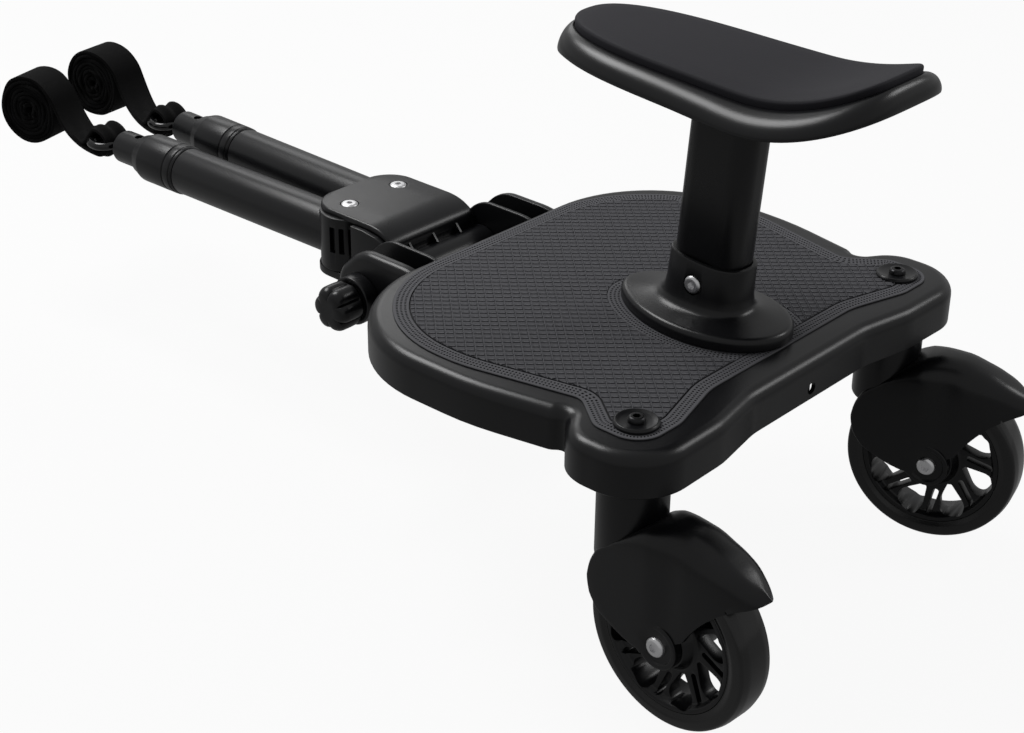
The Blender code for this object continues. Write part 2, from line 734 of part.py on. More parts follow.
def make_wheel(name, swivel_axis, axle):
    """Spoked rim, tyre, bearings, axle bolt and nut."""
    spin = empty(f"wheel_axis_{name}", axle, swivel_axis)
    hub = HUB_WIDTH / 2
    rim_half = RIM_WIDTH / 2
    web = WEB_THICKNESS / 2
    rim_radius = TYRE_SEAT_RADIUS - GAP
    inner = rim_radius - RIM_WALL
    bore = BEARING_RADIUS + GAP
    shelf = hub - BEARING_WIDTH - GAP
    profile = [
        (rim_radius, rim_half), (rim_radius, -rim_half), (inner, -rim_half), (inner, -web),
        (HUB_RADIUS + 0.002, -web), (HUB_RADIUS, -hub), (bore, -hub), (bore, -shelf),
        (AXLE_RADIUS + TURN, -shelf), (AXLE_RADIUS + TURN, shelf), (bore, shelf), (bore, hub), (HUB_RADIUS, hub),
        (HUB_RADIUS + 0.002, web), (inner, web), (inner, rim_half)]
    rim = piece(f"wheel_rim_{name}", along_x(turned("wheel_rim", profile, 24)), "satin_plastic", spin)
    window = along_x(prism("window", window_outline(), -0.02, 0.02))
    slot_start = WINDOW_INNER + 0.003
    slot = block("slot", (-0.02, slot_start, -SLOT_WIDTH / 2), (0.02, WINDOW_OUTER, SLOT_WIDTH / 2))
    holes = []
    for index in range(WINDOWS):
        angle = WINDOW_START[name] + math.tau * index / WINDOWS
        lean = Matrix.Translation((0, WINDOW_OUTER, 0)) @ Matrix.Rotation(WINDOW_SWEEP, 4, "X") @ Matrix.Translation(
            (0, -WINDOW_OUTER, 0))
        holes.append(copied(window, lean, Matrix.Rotation(angle, 4, "X")))
        holes.append(copied(slot, Matrix.Rotation(angle + math.pi / WINDOWS, 4, "X")))
    cut(rim, gathered("wheel_holes", *holes))
    half = TYRE_WIDTH / 2
    tyre = [
        (TYRE_SEAT_RADIUS, rim_half), (TYRE_SEAT_RADIUS + 0.0030, half), (WHEEL_RADIUS - 0.0035, half - 0.0012),
        (WHEEL_RADIUS - 0.0008, half - 0.0050), (WHEEL_RADIUS, half - 0.0100)]
    tread = tyre + [(radius, -side) for radius, side in reversed(tyre)]
    piece(f"tyre_{name}", along_x(turned("tyre", tread, 24)), "tyre", spin)
    for end_name, end in (("a", -1), ("b", 1)):
        faces = sorted((end * (hub - BEARING_WIDTH), end * hub), reverse=True)
        bearing = turned("bearing", [
            (BEARING_RADIUS, faces[0]), (BEARING_RADIUS, faces[1]),
            (AXLE_RADIUS + SLIDE, faces[1]), (AXLE_RADIUS + SLIDE, faces[0])], 14)
        piece(f"wheel_bearing_{name}_{end_name}", along_x(bearing), "silver_steel", spin)
    face = FORK_WIDTH / 2 + GAP
    bolt = turned("axle_bolt", [
        (0, -face - AXLE_HEAD_HEIGHT), (AXLE_HEAD_RADIUS * 0.7, -face - AXLE_HEAD_HEIGHT),
        (AXLE_HEAD_RADIUS, -face - AXLE_HEAD_HEIGHT / 3), (AXLE_HEAD_RADIUS, -face), (AXLE_RADIUS, -face), (AXLE_RADIUS, face + NUT_HEIGHT + 0.001),
        (0, face + NUT_HEIGHT + 0.001)][::-1], 12)
    piece(f"axle_bolt_{name}", along_x(bolt), "silver_steel", swivel_axis, axle)
    nut = rod("axle_nut", NUT_RADIUS, face, face + NUT_HEIGHT, 6)
    holder = piece(f"axle_nut_{name}", along_x(nut), "silver_steel", swivel_axis, axle)
    cut(holder, along_x(rod("nut_bore", AXLE_RADIUS + GAP, face - 0.01, face + 0.02, 12)))


def make_casters():
    """Both casters on their swivel axes."""
    for name, side in SIDES.items():
        swivel_axis = empty(f"caster_axis_{name}", (side * CASTER_X, CASTER_Y, 0), turn=SWIVEL[name])
        axle = make_fork(name, swivel_axis)
        make_wheel(name, swivel_axis, axle)


# Front hinge, connector and arms

def make_hinge_hardware():
    """The long hinge bolt, the plain collars beside the ears and the lobed knobs."""
    grip_start = EAR_OUTER + GAP + KNOB_WASHER_WIDTH + GAP * 2
    bolt_end = grip_start + KNOB_WIDTH - KNOB_SKIN
    bolt = along_x(rod("hinge_bolt", HINGE_BOLT_RADIUS, -bolt_end, bolt_end, 12))
    piece("hinge_bolt", bolt, "silver_steel", location=HINGE)
    bore = HINGE_BOLT_RADIUS + SLIDE
    for name, side in SIDES.items():
        start = EAR_OUTER + GAP
        washer = turned("knob_washer", [
            (KNOB_WASHER_RADIUS - 0.0015, start + KNOB_WASHER_WIDTH), (KNOB_WASHER_RADIUS, start + KNOB_WASHER_WIDTH - 0.0015),
            (KNOB_WASHER_RADIUS, start), (bore, start), (bore, start + KNOB_WASHER_WIDTH)], 18)
        washer = along_x(washer)
        grip_outline = []
        for index in range(24):
            angle = math.tau * index / 24
            reach = KNOB_RADIUS - KNOB_LOBE + KNOB_LOBE * math.cos(KNOB_LOBES * angle)
            grip_outline.append(Vector((reach * math.cos(angle), reach * math.sin(angle))))
        grip = along_x(prism("grip", grip_outline, grip_start, grip_start + KNOB_WIDTH, rim=0.0025, steps=2))
        hole = along_x(rod("grip_bore", bore, grip_start - 0.01, bolt_end + GAP, 12))
        if side < 0:
            washer = mirrored_x(washer)
            grip = mirrored_x(grip)
            hole = mirrored_x(hole)
        piece(f"knob_washer_{name}", washer, "satin_plastic", location=HINGE)
        knob = piece(f"hinge_knob_{name}", grip, "satin_plastic", empty(f"knob_axis_{name}", HINGE))
        cut(knob, hole)


def cover_stations():
    """Stations of the cover from its rolled rear edge forward: (y, half width, top, underside)."""
    stations = []
    for step in range(4):
        bend = math.radians(90) * step / 3
        y = BODY_BACK + 0.025 * (1 - math.cos(bend))
        top = COVER_TOP - 0.012 + 0.012 * math.sin(bend)
        stations.append((y, COVER_HALF_WIDTH, top, top - COVER_THICKNESS))
    arc = COVER_FRONT - COVER_CORNER
    for step in range(5):
        bend = math.radians(84) * step / 4
        width = COVER_HALF_WIDTH - COVER_CORNER * (1 - math.cos(bend))
        stations.append((arc + COVER_CORNER * math.sin(bend), width, COVER_TOP, COVER_TOP - COVER_THICKNESS))
    return stations


def make_connector():
    """The hinge block that tilts between the ears, with its cover and the arm screws."""
    tilt = empty("connector_axis", HINGE)
    reach = BODY_HALF_WIDTH - GAP
    floor_top = FLOOR_THICKNESS - BODY_FLOOR
    roof = COVER_TOP - COVER_THICKNESS - GAP
    rolled = [(y + GAP, under - GAP) for y, _, _, under in cover_stations() if y < BODY_FRONT]
    side_view = rounded([
        (BODY_BACK, -BODY_FLOOR + 0.004, 0.003), (BODY_FRONT, -BODY_FLOOR), (BODY_FRONT, roof), *reversed(rolled)])
    body = piece("connector_body", along_x(prism("connector_body", side_view, -reach, reach, rim=0.001, foot=0.001,
                                                 steps=1)), "satin_plastic", tilt)
    floor = rounded(both_sides([
        (BODY_HALF_WIDTH - GAP, COVER_FRONT, COVER_CORNER), (BODY_HALF_WIDTH - GAP, BODY_BACK + 0.004)]))
    join(body, prism("body_floor", floor, -BODY_FLOOR, floor_top))
    join(body, along_x(rod("hinge_barrel", BARREL_RADIUS, -reach, reach, 16)))
    for column in (-1, 0, 1):
        x = column * RIB_PITCH
        web = rounded([(-0.006, 0.012), (BODY_BACK + 0.004, roof - 0.016), (BODY_BACK + 0.010, 0.0), (0.0, 0.0)])
        join(body, along_x(prism("barrel_rib", web, x - RIB / 2, x + RIB / 2)))
    for side in SIDES.values():
        room = rod("root_room", ROOT_RADIUS + TURN, floor_top, COVER_TOP, 20)
        cut(body, shifted(room, side * ARM_X, ARM_Y))
        hole = rod("floor_hole", PIVOT_BOLT_RADIUS + SLIDE, -BODY_FLOOR - 0.01, floor_top + 0.01, 10)
        cut(body, shifted(hole, side * ARM_X, ARM_Y))
    cut(body, along_x(rod("barrel_bore", HINGE_BOLT_RADIUS + SLIDE, -0.06, 0.06, 12)))

    sections = []
    for y, half, top, under in cover_stations():
        edge = 0.0022
        flank = [(half, under), (half, top - edge), (half - edge * 0.3, top - edge * 0.3), (half - edge, top), (0, top)]
        sections.append([Vector((x, y, z)) for x, z in flank + [(-x, z) for x, z in reversed(flank[:-1])]])
    cover = piece("connector_cover", loft("connector_cover", sections), "satin_plastic", tilt)
    for side in SIDES.values():
        sink = rod("head_sink", PIVOT_BOLT_HEAD + 0.0008, COVER_TOP - 0.0016, COVER_TOP + 0.01, 16)
        cut(cover, shifted(sink, side * ARM_X, ARM_Y))
        hole = rod("cover_hole", PIVOT_BOLT_RADIUS + SLIDE, 0.02, COVER_TOP + 0.01, 10)
        cut(cover, shifted(hole, side * ARM_X, ARM_Y))
    seat = COVER_TOP - 0.0016 + GAP
    screw = turned("arm_pivot_screw", [
        (0, seat + PIVOT_BOLT_RISE), (PIVOT_BOLT_HEAD * 0.7, seat + PIVOT_BOLT_RISE),
        (PIVOT_BOLT_HEAD, seat + PIVOT_BOLT_RISE / 3), (PIVOT_BOLT_HEAD, seat), (PIVOT_BOLT_RADIUS, seat),
        (PIVOT_BOLT_RADIUS, -BODY_FLOOR - 0.0015), (0, -BODY_FLOOR - 0.0015)], 12)
    for name, side in SIDES.items():
        piece(f"arm_pivot_screw_{name}", screw.copy(), "silver_steel", tilt, (side * ARM_X, ARM_Y, 0))
    return tilt


def make_arm(name, side, tilt):
    """One arm: tube with its round root, lock collar, sliding rod, pin, eye and strap, all along local Y."""
    swing = empty(f"arm_axis_{name}", (side * ARM_X, ARM_Y, ARM_RISE), tilt, -side * ARM_SPLAY)
    low = FLOOR_THICKNESS - BODY_FLOOR - ARM_RISE + GAP
    high = COVER_TOP - COVER_THICKNESS - ARM_RISE - GAP
    spigot = TUBE_RADIUS - SPIGOT_STEP
    collar_start = TUBE_LENGTH + GAP
    collar_end = collar_start + COLLAR_LENGTH
    spigot_end = collar_end - COLLAR_NECK - GAP
    collet_end = collar_end - COLLET_SET_BACK
    tube_mesh = turned("arm_tube", [
        (0, collet_end), (COLLET_RADIUS, collet_end), (COLLET_RADIUS, spigot_end), (spigot, spigot_end),
        (spigot, TUBE_LENGTH), (TUBE_RADIUS, TUBE_LENGTH),
        (TUBE_RADIUS, 0.002), (0, 0.002)], 18)
    tube = piece(f"arm_tube_{name}", along_y(tube_mesh), "satin_plastic", swing)
    join(tube, rod("arm_root", ROOT_RADIUS, low, high, 20))
    cut(tube, along_y(rod("tube_bore", TUBE_BORE, 0.030, collet_end + 0.01, 16)))
    cut(tube, rod("root_bore", PIVOT_BOLT_RADIUS + TURN, low - 0.01, high + 0.01, 12))
    for y, wide in ((-0.0035, 0.0050), (-0.0110, 0.0040), (-0.0165, 0.0030)):
        out = side * math.sqrt(ROOT_RADIUS ** 2 - y ** 2)
        ends = sorted((out - side * 0.0035, out + side * 0.004))
        cut(tube, block("root_slot", (ends[0], y - wide / 2, -0.006), (ends[1], y + wide / 2, 0.014)))

    bore = spigot + SLIDE
    neck = COLLET_RADIUS + SLIDE
    groove = 0.0009
    collar = turned("lock_collar", [
        (neck + 0.0006, collar_end), (COLLAR_RADIUS - 0.0028, collar_end - 0.0015),
        (COLLAR_RADIUS, collar_end - 0.0085), (COLLAR_RADIUS, collar_start + 0.0152),
        (COLLAR_RADIUS - groove, collar_start + 0.0144), (COLLAR_RADIUS, collar_start + 0.0136),
        (COLLAR_RADIUS, collar_start + 0.0042), (COLLAR_RADIUS - groove, collar_start + 0.0034),
        (COLLAR_RADIUS, collar_start + 0.0024), (COLLAR_RADIUS - 0.0006, collar_start),
        (bore, collar_start), (bore, collar_end - COLLAR_NECK), (neck, collar_end - COLLAR_NECK),
        (neck, collar_end)], 16)
    piece(f"lock_collar_{name}", along_y(collar), "satin_plastic", swing)

    tip = collar_end + ROD_SHOWN
    slide = empty(f"rod_axis_{name}", (0, tip, 0), swing)
    rod_mesh = turned("inner_rod", [
        (0, 0), (ROD_RADIUS - 0.001, 0), (ROD_RADIUS, -0.001), (ROD_RADIUS, -ROD_LENGTH), (0, -ROD_LENGTH)], 16)
    inner = piece(f"inner_rod_{name}", along_y(rod_mesh), "satin_plastic", slide)
    cut(inner, along_y(rod("shank_bore", EYE_SHANK + SLIDE, -EYE_SHANK_DEPTH - GAP, 0.01, 12)))
    cut(inner, shifted(rod("pin_bore", PIN_RADIUS + GAP, 0.0035, 0.03, 12), y=-PIN_SET_BACK))
    pin = rod("rod_pin", PIN_RADIUS, 0.0035 + GAP, ROD_RADIUS - 0.0006, 12)
    piece(f"rod_pin_{name}", pin, "black_steel", slide, (0, -PIN_SET_BACK, 0))
    make_eye(name, slide)


def make_eye(name, slide):
    """The swivel eye and the strap that is looped through it."""
    swivel = empty(f"eye_axis_{name}", (0, 0, 0), slide)
    stem = turned("eye_stem", [
        (0, EYE_REACH - EYE_HALF_LENGTH + 0.001), (EYE_SHANK - 0.0005, EYE_REACH - EYE_HALF_LENGTH + 0.001),
        (EYE_SHANK - 0.0005, 0.0036), (0.0068, 0.0030), (0.0072, GAP), (EYE_SHANK, GAP), (EYE_SHANK, -EYE_SHANK_DEPTH),
        (0, -EYE_SHANK_DEPTH)], 14)
    eye = piece(f"strap_eye_{name}", along_y(stem), "gloss_plastic", swivel)
    loop = bpy.data.curves.new("eye_loop", "CURVE")
    loop.dimensions = "3D"
    loop.bevel_depth = EYE_BAR
    loop.bevel_resolution = 1
    path = rounded([
        (EYE_HALF_WIDTH, EYE_HALF_LENGTH, EYE_CORNER), (EYE_HALF_WIDTH, -EYE_HALF_LENGTH, EYE_CORNER),
        (-EYE_HALF_WIDTH, -EYE_HALF_LENGTH, EYE_CORNER), (-EYE_HALF_WIDTH, EYE_HALF_LENGTH, EYE_CORNER)],
        math.radians(45))
    spline = loop.splines.new("POLY")
    spline.points.add(len(path) - 1)
    for control, point in zip(spline.points, path):
        control.co = (point.x, point.y + EYE_REACH, 0, 1)
    spline.use_cyclic_u = True
    join(eye, mesh_of(bpy.data.objects.new("eye_loop", loop), "eye_loop"))
    make_strap(name, swivel)


def strap_path(name):
    """Stations of the strap as (point, width direction, width), from the core of the roll to the loose end."""
    bar = Vector((0, EYE_REACH + EYE_HALF_LENGTH, 0))
    centre = bar + Vector(ROLL_PLACE[name])
    yaw = Matrix.Rotation(ROLL_YAW[name], 3, "Z")
    forward = yaw @ Vector((0, 1, 0))
    across = yaw @ Vector((1, 0, 0))
    up = Vector((0, 0, 1))
    leave = math.radians(-114)
    turns = (ROLL_RADIUS - ROLL_CORE) / STRAP_PITCH
    count = round(turns * ROLL_STEPS)
    stations = []
    for step in range(count + 1):
        angle = leave + math.tau * turns * (1 - step / count)
        radius = ROLL_CORE + (ROLL_RADIUS - ROLL_CORE) * step / count
        point = centre + forward * radius * math.cos(angle) + up * radius * math.sin(angle)
        stations.append((point, across, STRAP_WIDTH))

    # Neck from the roll to the underside of the eye's far bar
    wrap = EYE_BAR + SLIDE + STRAP_THICKNESS / 2
    start = stations[-1][0]
    heading = forward * math.sin(leave) - up * math.cos(leave)
    under = bar - up * wrap
    pull = (start - under).length / 2.6
    neck = []
    steps = 12
    for step in range(1, steps + 1):
        t = step / steps
        first = start + heading * pull
        last = under + Vector((0, 1, 0)) * pull
        point = (start * (1 - t) ** 3 + first * 3 * t * (1 - t) ** 2 + last * 3 * t * t * (1 - t) + under * t ** 3)
        ease = t * t * (3 - 2 * t)
        width = STRAP_WIDTH + (STRAP_GATHERED - STRAP_WIDTH) * ease
        neck.append((point, (across * (1 - ease) + Vector((1, 0, 0)) * ease).normalized(), width))
    stations += neck

    # Round the bar and back over the neck
    for step in range(1, 9):
        angle = math.radians(-90 - 180 * step / 8)
        point = bar + Vector((0, math.cos(angle), math.sin(angle))) * wrap
        stations.append((point, Vector((1, 0, 0)), STRAP_GATHERED))
    travelled = 0.0
    back = list(reversed(neck))
    lift = 2 * wrap
    for (here, side, width), (after, _, _) in zip(back, back[1:]):
        travelled += (after - here).length
        if travelled > STRAP_END:
            break
        ease = min(1.0, travelled / 0.016)
        ease = ease * ease * (3 - 2 * ease)
        slope = (after - here).normalized()
        normal = slope.cross(side).normalized()
        if normal.z < 0:
            normal = -normal
        point = after + normal * (lift + (STRAP_PITCH * 1.05 - lift) * ease)
        stations.append((point, side, width))
    return stations


def least_gap(stations):
    """Least distance between faces of neighbouring turns, measured from station to station."""
    points = [station[0] for station in stations]
    least = 1.0
    for index, point in enumerate(points):
        for other in range(index + 6, len(points)):
            least = min(least, (points[other] - point).length)
    return least - STRAP_THICKNESS


def make_strap(name, swivel):
    """Hook-and-loop webbing, looped round the eye and wound into a roll."""
    stations = strap_path(name)
    sections = []
    for index, (point, side, width) in enumerate(stations):
        before = stations[max(0, index - 1)][0]
        after = stations[min(len(stations) - 1, index + 1)][0]
        normal = (after - before).normalized().cross(side).normalized() * STRAP_THICKNESS / 2
        half = side * width / 2
        sections.append([point + half + normal, point - half + normal, point - half - normal, point + half - normal])
    piece(f"strap_{name}", loft(f"strap_{name}", sections), "webbing", swivel)
    print(f"strap_{name}: {len(stations)} stations, least gap to itself {least_gap(stations) * 1000:.2f} mm")


# Seat

def lean(point):
    """A point of the seat's leaning frame in world coordinates."""
    turned_point = Matrix.Rotation(SEAT_LEAN, 3, "X") @ Vector(point)
    return turned_point + Vector((0, SEAT_Y, SEAT_ROOT))


def flange_ring(inset, height, count):
    """Egg-shaped ring of the seat base's flange."""
    middle = (FLANGE_FRONT + FLANGE_REAR) / 2
    half = (FLANGE_FRONT - FLANGE_REAR) / 2 - inset
    points = []
    for index in range(count):
        angle = math.tau * index / count
        along = math.sin(angle)
        wide = (FLANGE_WIDE - inset) * (1 - 0.13 * along - 0.05 * along * along)
        points.append(Vector((wide * math.cos(angle), middle + half * along, height)))
    return points


def collar_ring(grow, height, count):
    """Oval ring of the seat base's collar, in the leaning frame."""
    return [lean((p.x, p.y, height)) for p in ring(COLLAR_HALF_X + grow, COLLAR_HALF_Y + grow, 2.5, count)]


def make_seat_base():
    """Flange and collar in one moulding, with its bolt, nut and screws."""
    count = BASE_RING_POINTS
    edge = flange_ring(0.0045, FLANGE_HEIGHT, count)
    root = collar_ring(0.0012, 0.0045, count)
    sections = [
        flange_ring(0.0, MAT_FLOOR + GAP, count), flange_ring(0.0, FLANGE_HEIGHT - 0.0035, count),
        flange_ring(0.0012, FLANGE_HEIGHT - 0.0010, count), edge,
        [p.lerp(q, 0.45) + Vector((0, 0, -0.0004)) for p, q in zip(edge, [Vector((r.x, r.y, FLANGE_HEIGHT)) for r in root])],
        [p.lerp(q, 0.80) for p, q in zip(edge, [Vector((r.x, r.y, FLANGE_HEIGHT + 0.002)) for r in root])],
        root, collar_ring(0.0, 0.0120, count), collar_ring(-0.0004, COLLAR_TOP - 0.001, count),
        collar_ring(-0.0012, COLLAR_TOP, count)]
    base = piece("seat_base", loft("seat_base", sections), "satin_plastic")
    socket = rounded([
        (x * (POST_HALF_X + SLIDE), y * (POST_HALF_Y + SLIDE), POST_ROUND) for x, y in ((1, 1), (1, -1), (-1, -1), (-1, 1))])
    socket_mesh = prism("post_socket", socket, POST_FLOOR - SEAT_ROOT, 0.08)
    socket_mesh.transform(Matrix.Rotation(SEAT_LEAN, 4, "X"))
    cut(base, shifted(socket_mesh, y=SEAT_Y, z=SEAT_ROOT))
    bolt_y = SEAT_Y - math.tan(SEAT_LEAN) * (SEAT_BOLT_Z - SEAT_ROOT)
    sink = COLLAR_HALF_X - 0.0026
    bore = shifted(along_x(rod("seat_bolt_bore", SEAT_BOLT_RADIUS + SLIDE, -0.04, 0.04, 10)), y=bolt_y, z=SEAT_BOLT_Z)
    cut(base, bore)
    for side in SIDES.values():
        ends = sorted((side * sink, side * 0.04))
        cut(base, shifted(along_x(rod("seat_bolt_sink", 0.0074, *ends, 16)), y=bolt_y, z=SEAT_BOLT_Z))
        for x, y in base_screw_places():
            if x * side > 0:
                cut(base, shifted(rod("base_pilot", SCREW_RADIUS + GAP, -0.01, 0.0062, 8), x, y))
    face = sink + GAP
    bolt = turned("seat_base_bolt", [
        (0, face + SEAT_BOLT_RISE), (SEAT_BOLT_HEAD * 0.7, face + SEAT_BOLT_RISE),
        (SEAT_BOLT_HEAD, face + SEAT_BOLT_RISE / 3), (SEAT_BOLT_HEAD, face), (SEAT_BOLT_RADIUS, face),
        (SEAT_BOLT_RADIUS, -face - 0.0036), (0, -face - 0.0036)], 12)
    place = (0, bolt_y, SEAT_BOLT_Z)
    piece("seat_base_bolt", mirrored_x(along_x(bolt)), "silver_steel", location=place)
    nut = piece("seat_base_nut", along_x(rod("seat_base_nut", 0.0060, face, face + 0.0030, 6)), "silver_steel",
                location=place)
    cut(nut, along_x(rod("seat_nut_bore", SEAT_BOLT_RADIUS + GAP, face - 0.01, face + 0.01, 10)))
    head_top = PLATE_UNDER - GAP
    screw = turned("seat_base_screw", [
        (0, 0.0058), (SCREW_RADIUS, 0.0058), (SCREW_RADIUS, head_top), (SCREW_HEAD, head_top),
        (SCREW_HEAD, head_top - 0.0022), (0, head_top - 0.0022)], 10)
    for number, (x, y) in enumerate(base_screw_places(), 1):
        piece(f"seat_base_screw_{number}", screw.copy(), "silver_steel", location=(x, y, 0))
    return bolt_y


def make_post(bolt_y):
    """The oval seat tube."""
    corners = ((1, 1), (1, -1), (-1, -1), (-1, 1))
    outer = rounded([(x * POST_HALF_X, y * POST_HALF_Y, POST_ROUND) for x, y in corners])
    low = POST_FLOOR + GAP - SEAT_ROOT
    tube = prism("seat_post", outer, low, POST_TOP)
    post = piece("seat_post", tube, "satin_plastic", location=(0, SEAT_Y, SEAT_ROOT))
    post.rotation_euler.x = SEAT_LEAN
    inside = prism("post_inside", moved_out(outer, -POST_WALL), low - 0.01, POST_TOP + 0.01)
    inside.transform(Matrix.Rotation(SEAT_LEAN, 4, "X"))
    cut(post, inside)
    bolt_hole = along_x(rod("post_bolt_hole", SEAT_BOLT_RADIUS + SLIDE, -0.04, 0.04, 10))
    cut(post, shifted(bolt_hole, y=bolt_y - SEAT_Y, z=SEAT_BOLT_Z - SEAT_ROOT))
    for place in seat_screw_places():
        hole = along_x(rod("post_screw_hole", SCREW_RADIUS + GAP, *sorted((0, place.x * 3)), 10))
        cut(post, shifted(hole, y=place.y - SEAT_Y, z=place.z - SEAT_ROOT))
    return post


def seat_screw_places():
    """Centres of the two screws that hold the shell on the post, at the faces of its socket."""
    height = POST_TOP - 0.0065
    reach = POST_HALF_X + SLIDE + SHELL_WALL
    return [lean((-reach, 0, height)), lean((reach, 0, height))]


def saddle(y):
    """Height of the pad's edge along the seat: low in the middle, up at the rear."""
    ahead = y - SADDLE_Y
    if ahead > 0:
        return SADDLE_LOW + 0.042 * ahead * ahead / (ahead + 0.012)
    return SADDLE_LOW + 2.4 * ahead * ahead


def seat_ring(centre, half_length, narrow, wide):
    """Plan of the saddle as (x, y): wide and square behind, narrow and round in front."""
    points = []
    for index in range(SHELL_RING_POINTS):
        angle = math.tau * index / SHELL_RING_POINTS
        power = 2.5 if math.sin(angle) > 0 else 3.5
        along = math.copysign(abs(math.sin(angle)) ** (2 / power), math.sin(angle))
        across = math.copysign(abs(math.cos(angle)) ** (2 / power), math.cos(angle))
        y = centre + half_length * along
        half = narrow + (wide - narrow) * 0.5 * (1 - math.tanh((y + 0.143) / 0.045))
        points.append(Vector((half * across, y)))
    return points


def shell_ring(share, drop):
    """Ring of the shell between the pad's edge (0) and the rim (1), lowered by drop."""
    pad = seat_ring(PAD_CENTRE, PAD_HALF_LENGTH, PAD_NARROW, PAD_WIDE)
    rim = seat_ring(SEAT_CENTRE, SEAT_HALF_LENGTH, SEAT_NARROW, SEAT_WIDE)
    points = []
    for inner, outer in zip(pad, rim):
        at = inner.lerp(outer, share)
        nose = max(0.0, (at.y + 0.025) / 0.038)
        droop = 0.007 * nose ** 2 * max(0.0, share)
        points.append(Vector((at.x, at.y, saddle(inner.y) - drop - droop)))
    return points


def shrunk(ring_points, share, drop=0.0):
    """A ring drawn in towards the seat's centre line, following the saddle."""
    points = []
    for point in ring_points:
        y = PAD_CENTRE + (point.y - PAD_CENTRE) * share
        points.append(Vector((point.x * share, y, point.z - saddle(point.y) + saddle(y) - drop)))
    return points


def make_shell():
    """The saddle moulding: rounded rim, recess for the pad, open underside and a socket for the post."""
    edge = shell_ring(-0.03, PAD_RECESS)
    under = shell_ring(-0.03, PAD_RECESS + SHELL_WALL)
    sections = [
        shrunk(edge, 0.08), shrunk(edge, 0.6), edge, shell_ring(-0.02, 0.0),
        shell_ring(0.55, 0.0016), shell_ring(0.86, 0.0055), shell_ring(0.985, SHELL_DROP - 0.0025),
        shell_ring(1.0, SHELL_DROP), shell_ring(0.93, SHELL_DROP + 0.0012), shell_ring(0.86, SHELL_DROP - 0.0015),
        shell_ring(0.62, 0.0054), shell_ring(0.12, PAD_RECESS + SHELL_WALL - 0.0006), under, shrunk(under, 0.6), shrunk(under, 0.08)]
    shell = piece("seat_shell", loft("seat_shell", sections), "satin_plastic")
    corners = ((1, 1), (1, -1), (-1, -1), (-1, 1))
    grow = SLIDE + SHELL_WALL
    outer = rounded([(x * (POST_HALF_X + grow), y * (POST_HALF_Y + grow), POST_ROUND + grow) for x, y in corners])
    bore = rounded([(x * (POST_HALF_X + SLIDE), y * (POST_HALF_Y + SLIDE), POST_ROUND + SLIDE) for x, y in corners])
    tilt = Matrix.Rotation(SEAT_LEAN, 4, "X")
    socket = prism("shell_socket", outer, POST_TOP - 0.014, POST_TOP + 0.0035)
    socket.transform(tilt)
    join(shell, shifted(socket, y=SEAT_Y, z=SEAT_ROOT))
    inside = prism("shell_socket_bore", bore, POST_TOP - 0.05, POST_TOP + GAP)
    inside.transform(tilt)
    cut(shell, shifted(inside, y=SEAT_Y, z=SEAT_ROOT))
    for place in seat_screw_places():
        hole = along_x(rod("shell_screw_hole", SCREW_RADIUS + GAP, *sorted((0, place.x * 3)), 10))
        cut(shell, shifted(hole, y=place.y, z=place.z))
    for name, place in zip(SIDES, seat_screw_places()):
        start = abs(place.x) + GAP
        screw = along_x(turned("seat_screw", [
            (0, start + 0.0022), (SCREW_HEAD - 0.001, start + 0.0022), (SCREW_HEAD, start + 0.001), (SCREW_HEAD, start),
            (SCREW_RADIUS, start), (SCREW_RADIUS, start - 0.009), (0, start - 0.009)], 12))
        if name == "left":
            screw = mirrored_x(screw)
        piece(f"seat_screw_{name}", screw, "silver_steel", location=(0, place.y, place.z))


def make_pad():
    """The soft inset: flat underneath, a rounded edge and a low crown that follows the saddle."""
    def layer(inset, rise):
        points = []
        for point in seat_ring(PAD_CENTRE, PAD_HALF_LENGTH - inset, PAD_NARROW - inset, PAD_WIDE - inset):
            points.append(Vector((point.x, point.y, saddle(point.y) + rise)))
        return points

    clear = 0.0008
    foot = layer(clear + 0.0010, PAD_SEAT_GAP - PAD_RECESS)
    top = layer(0.010, PAD_CROWN * 0.80)
    sections = [
        shrunk(foot, 0.08), shrunk(foot, 0.6), foot, layer(clear, 0.0010), layer(clear + 0.0006, 0.0024), layer(0.0040, PAD_CROWN * 0.72), top,
        shrunk(top, 0.70, -PAD_CROWN * 0.12), shrunk(top, 0.38, -PAD_CROWN * 0.18), shrunk(top, 0.08, -PAD_CROWN * 0.20)]
    piece("seat_pad", loft("seat_pad", sections), "pad_foam")


make_platform()
make_mat()
make_caster_mounts()
make_casters()
make_hinge_hardware()
connector_axis = make_connector()
for arm_name, arm_side in SIDES.items():
    make_arm(arm_name, arm_side, connector_axis)
seat_bolt_y = make_seat_base()
make_post(seat_bolt_y)
make_shell()
make_pad()
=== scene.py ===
"""Looks of a stroller ride-on seat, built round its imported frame.

Metres, +Z up, +Y towards the arms, +X to the right of a child who faces the arms. The origin is the top of the mat.
Each sub-assembly is a class whose fields are its sizes. Pieces are shaped with bmesh operators, in the sub-assembly's
own frame, and are then laid in the object's frame and ride on a body.
"""

import json
import logging
import math
from dataclasses import dataclass
from enum import Enum
from typing import Any, Iterable, Sequence

import bmesh
import bpy
from mathutils import Matrix, Vector, noise


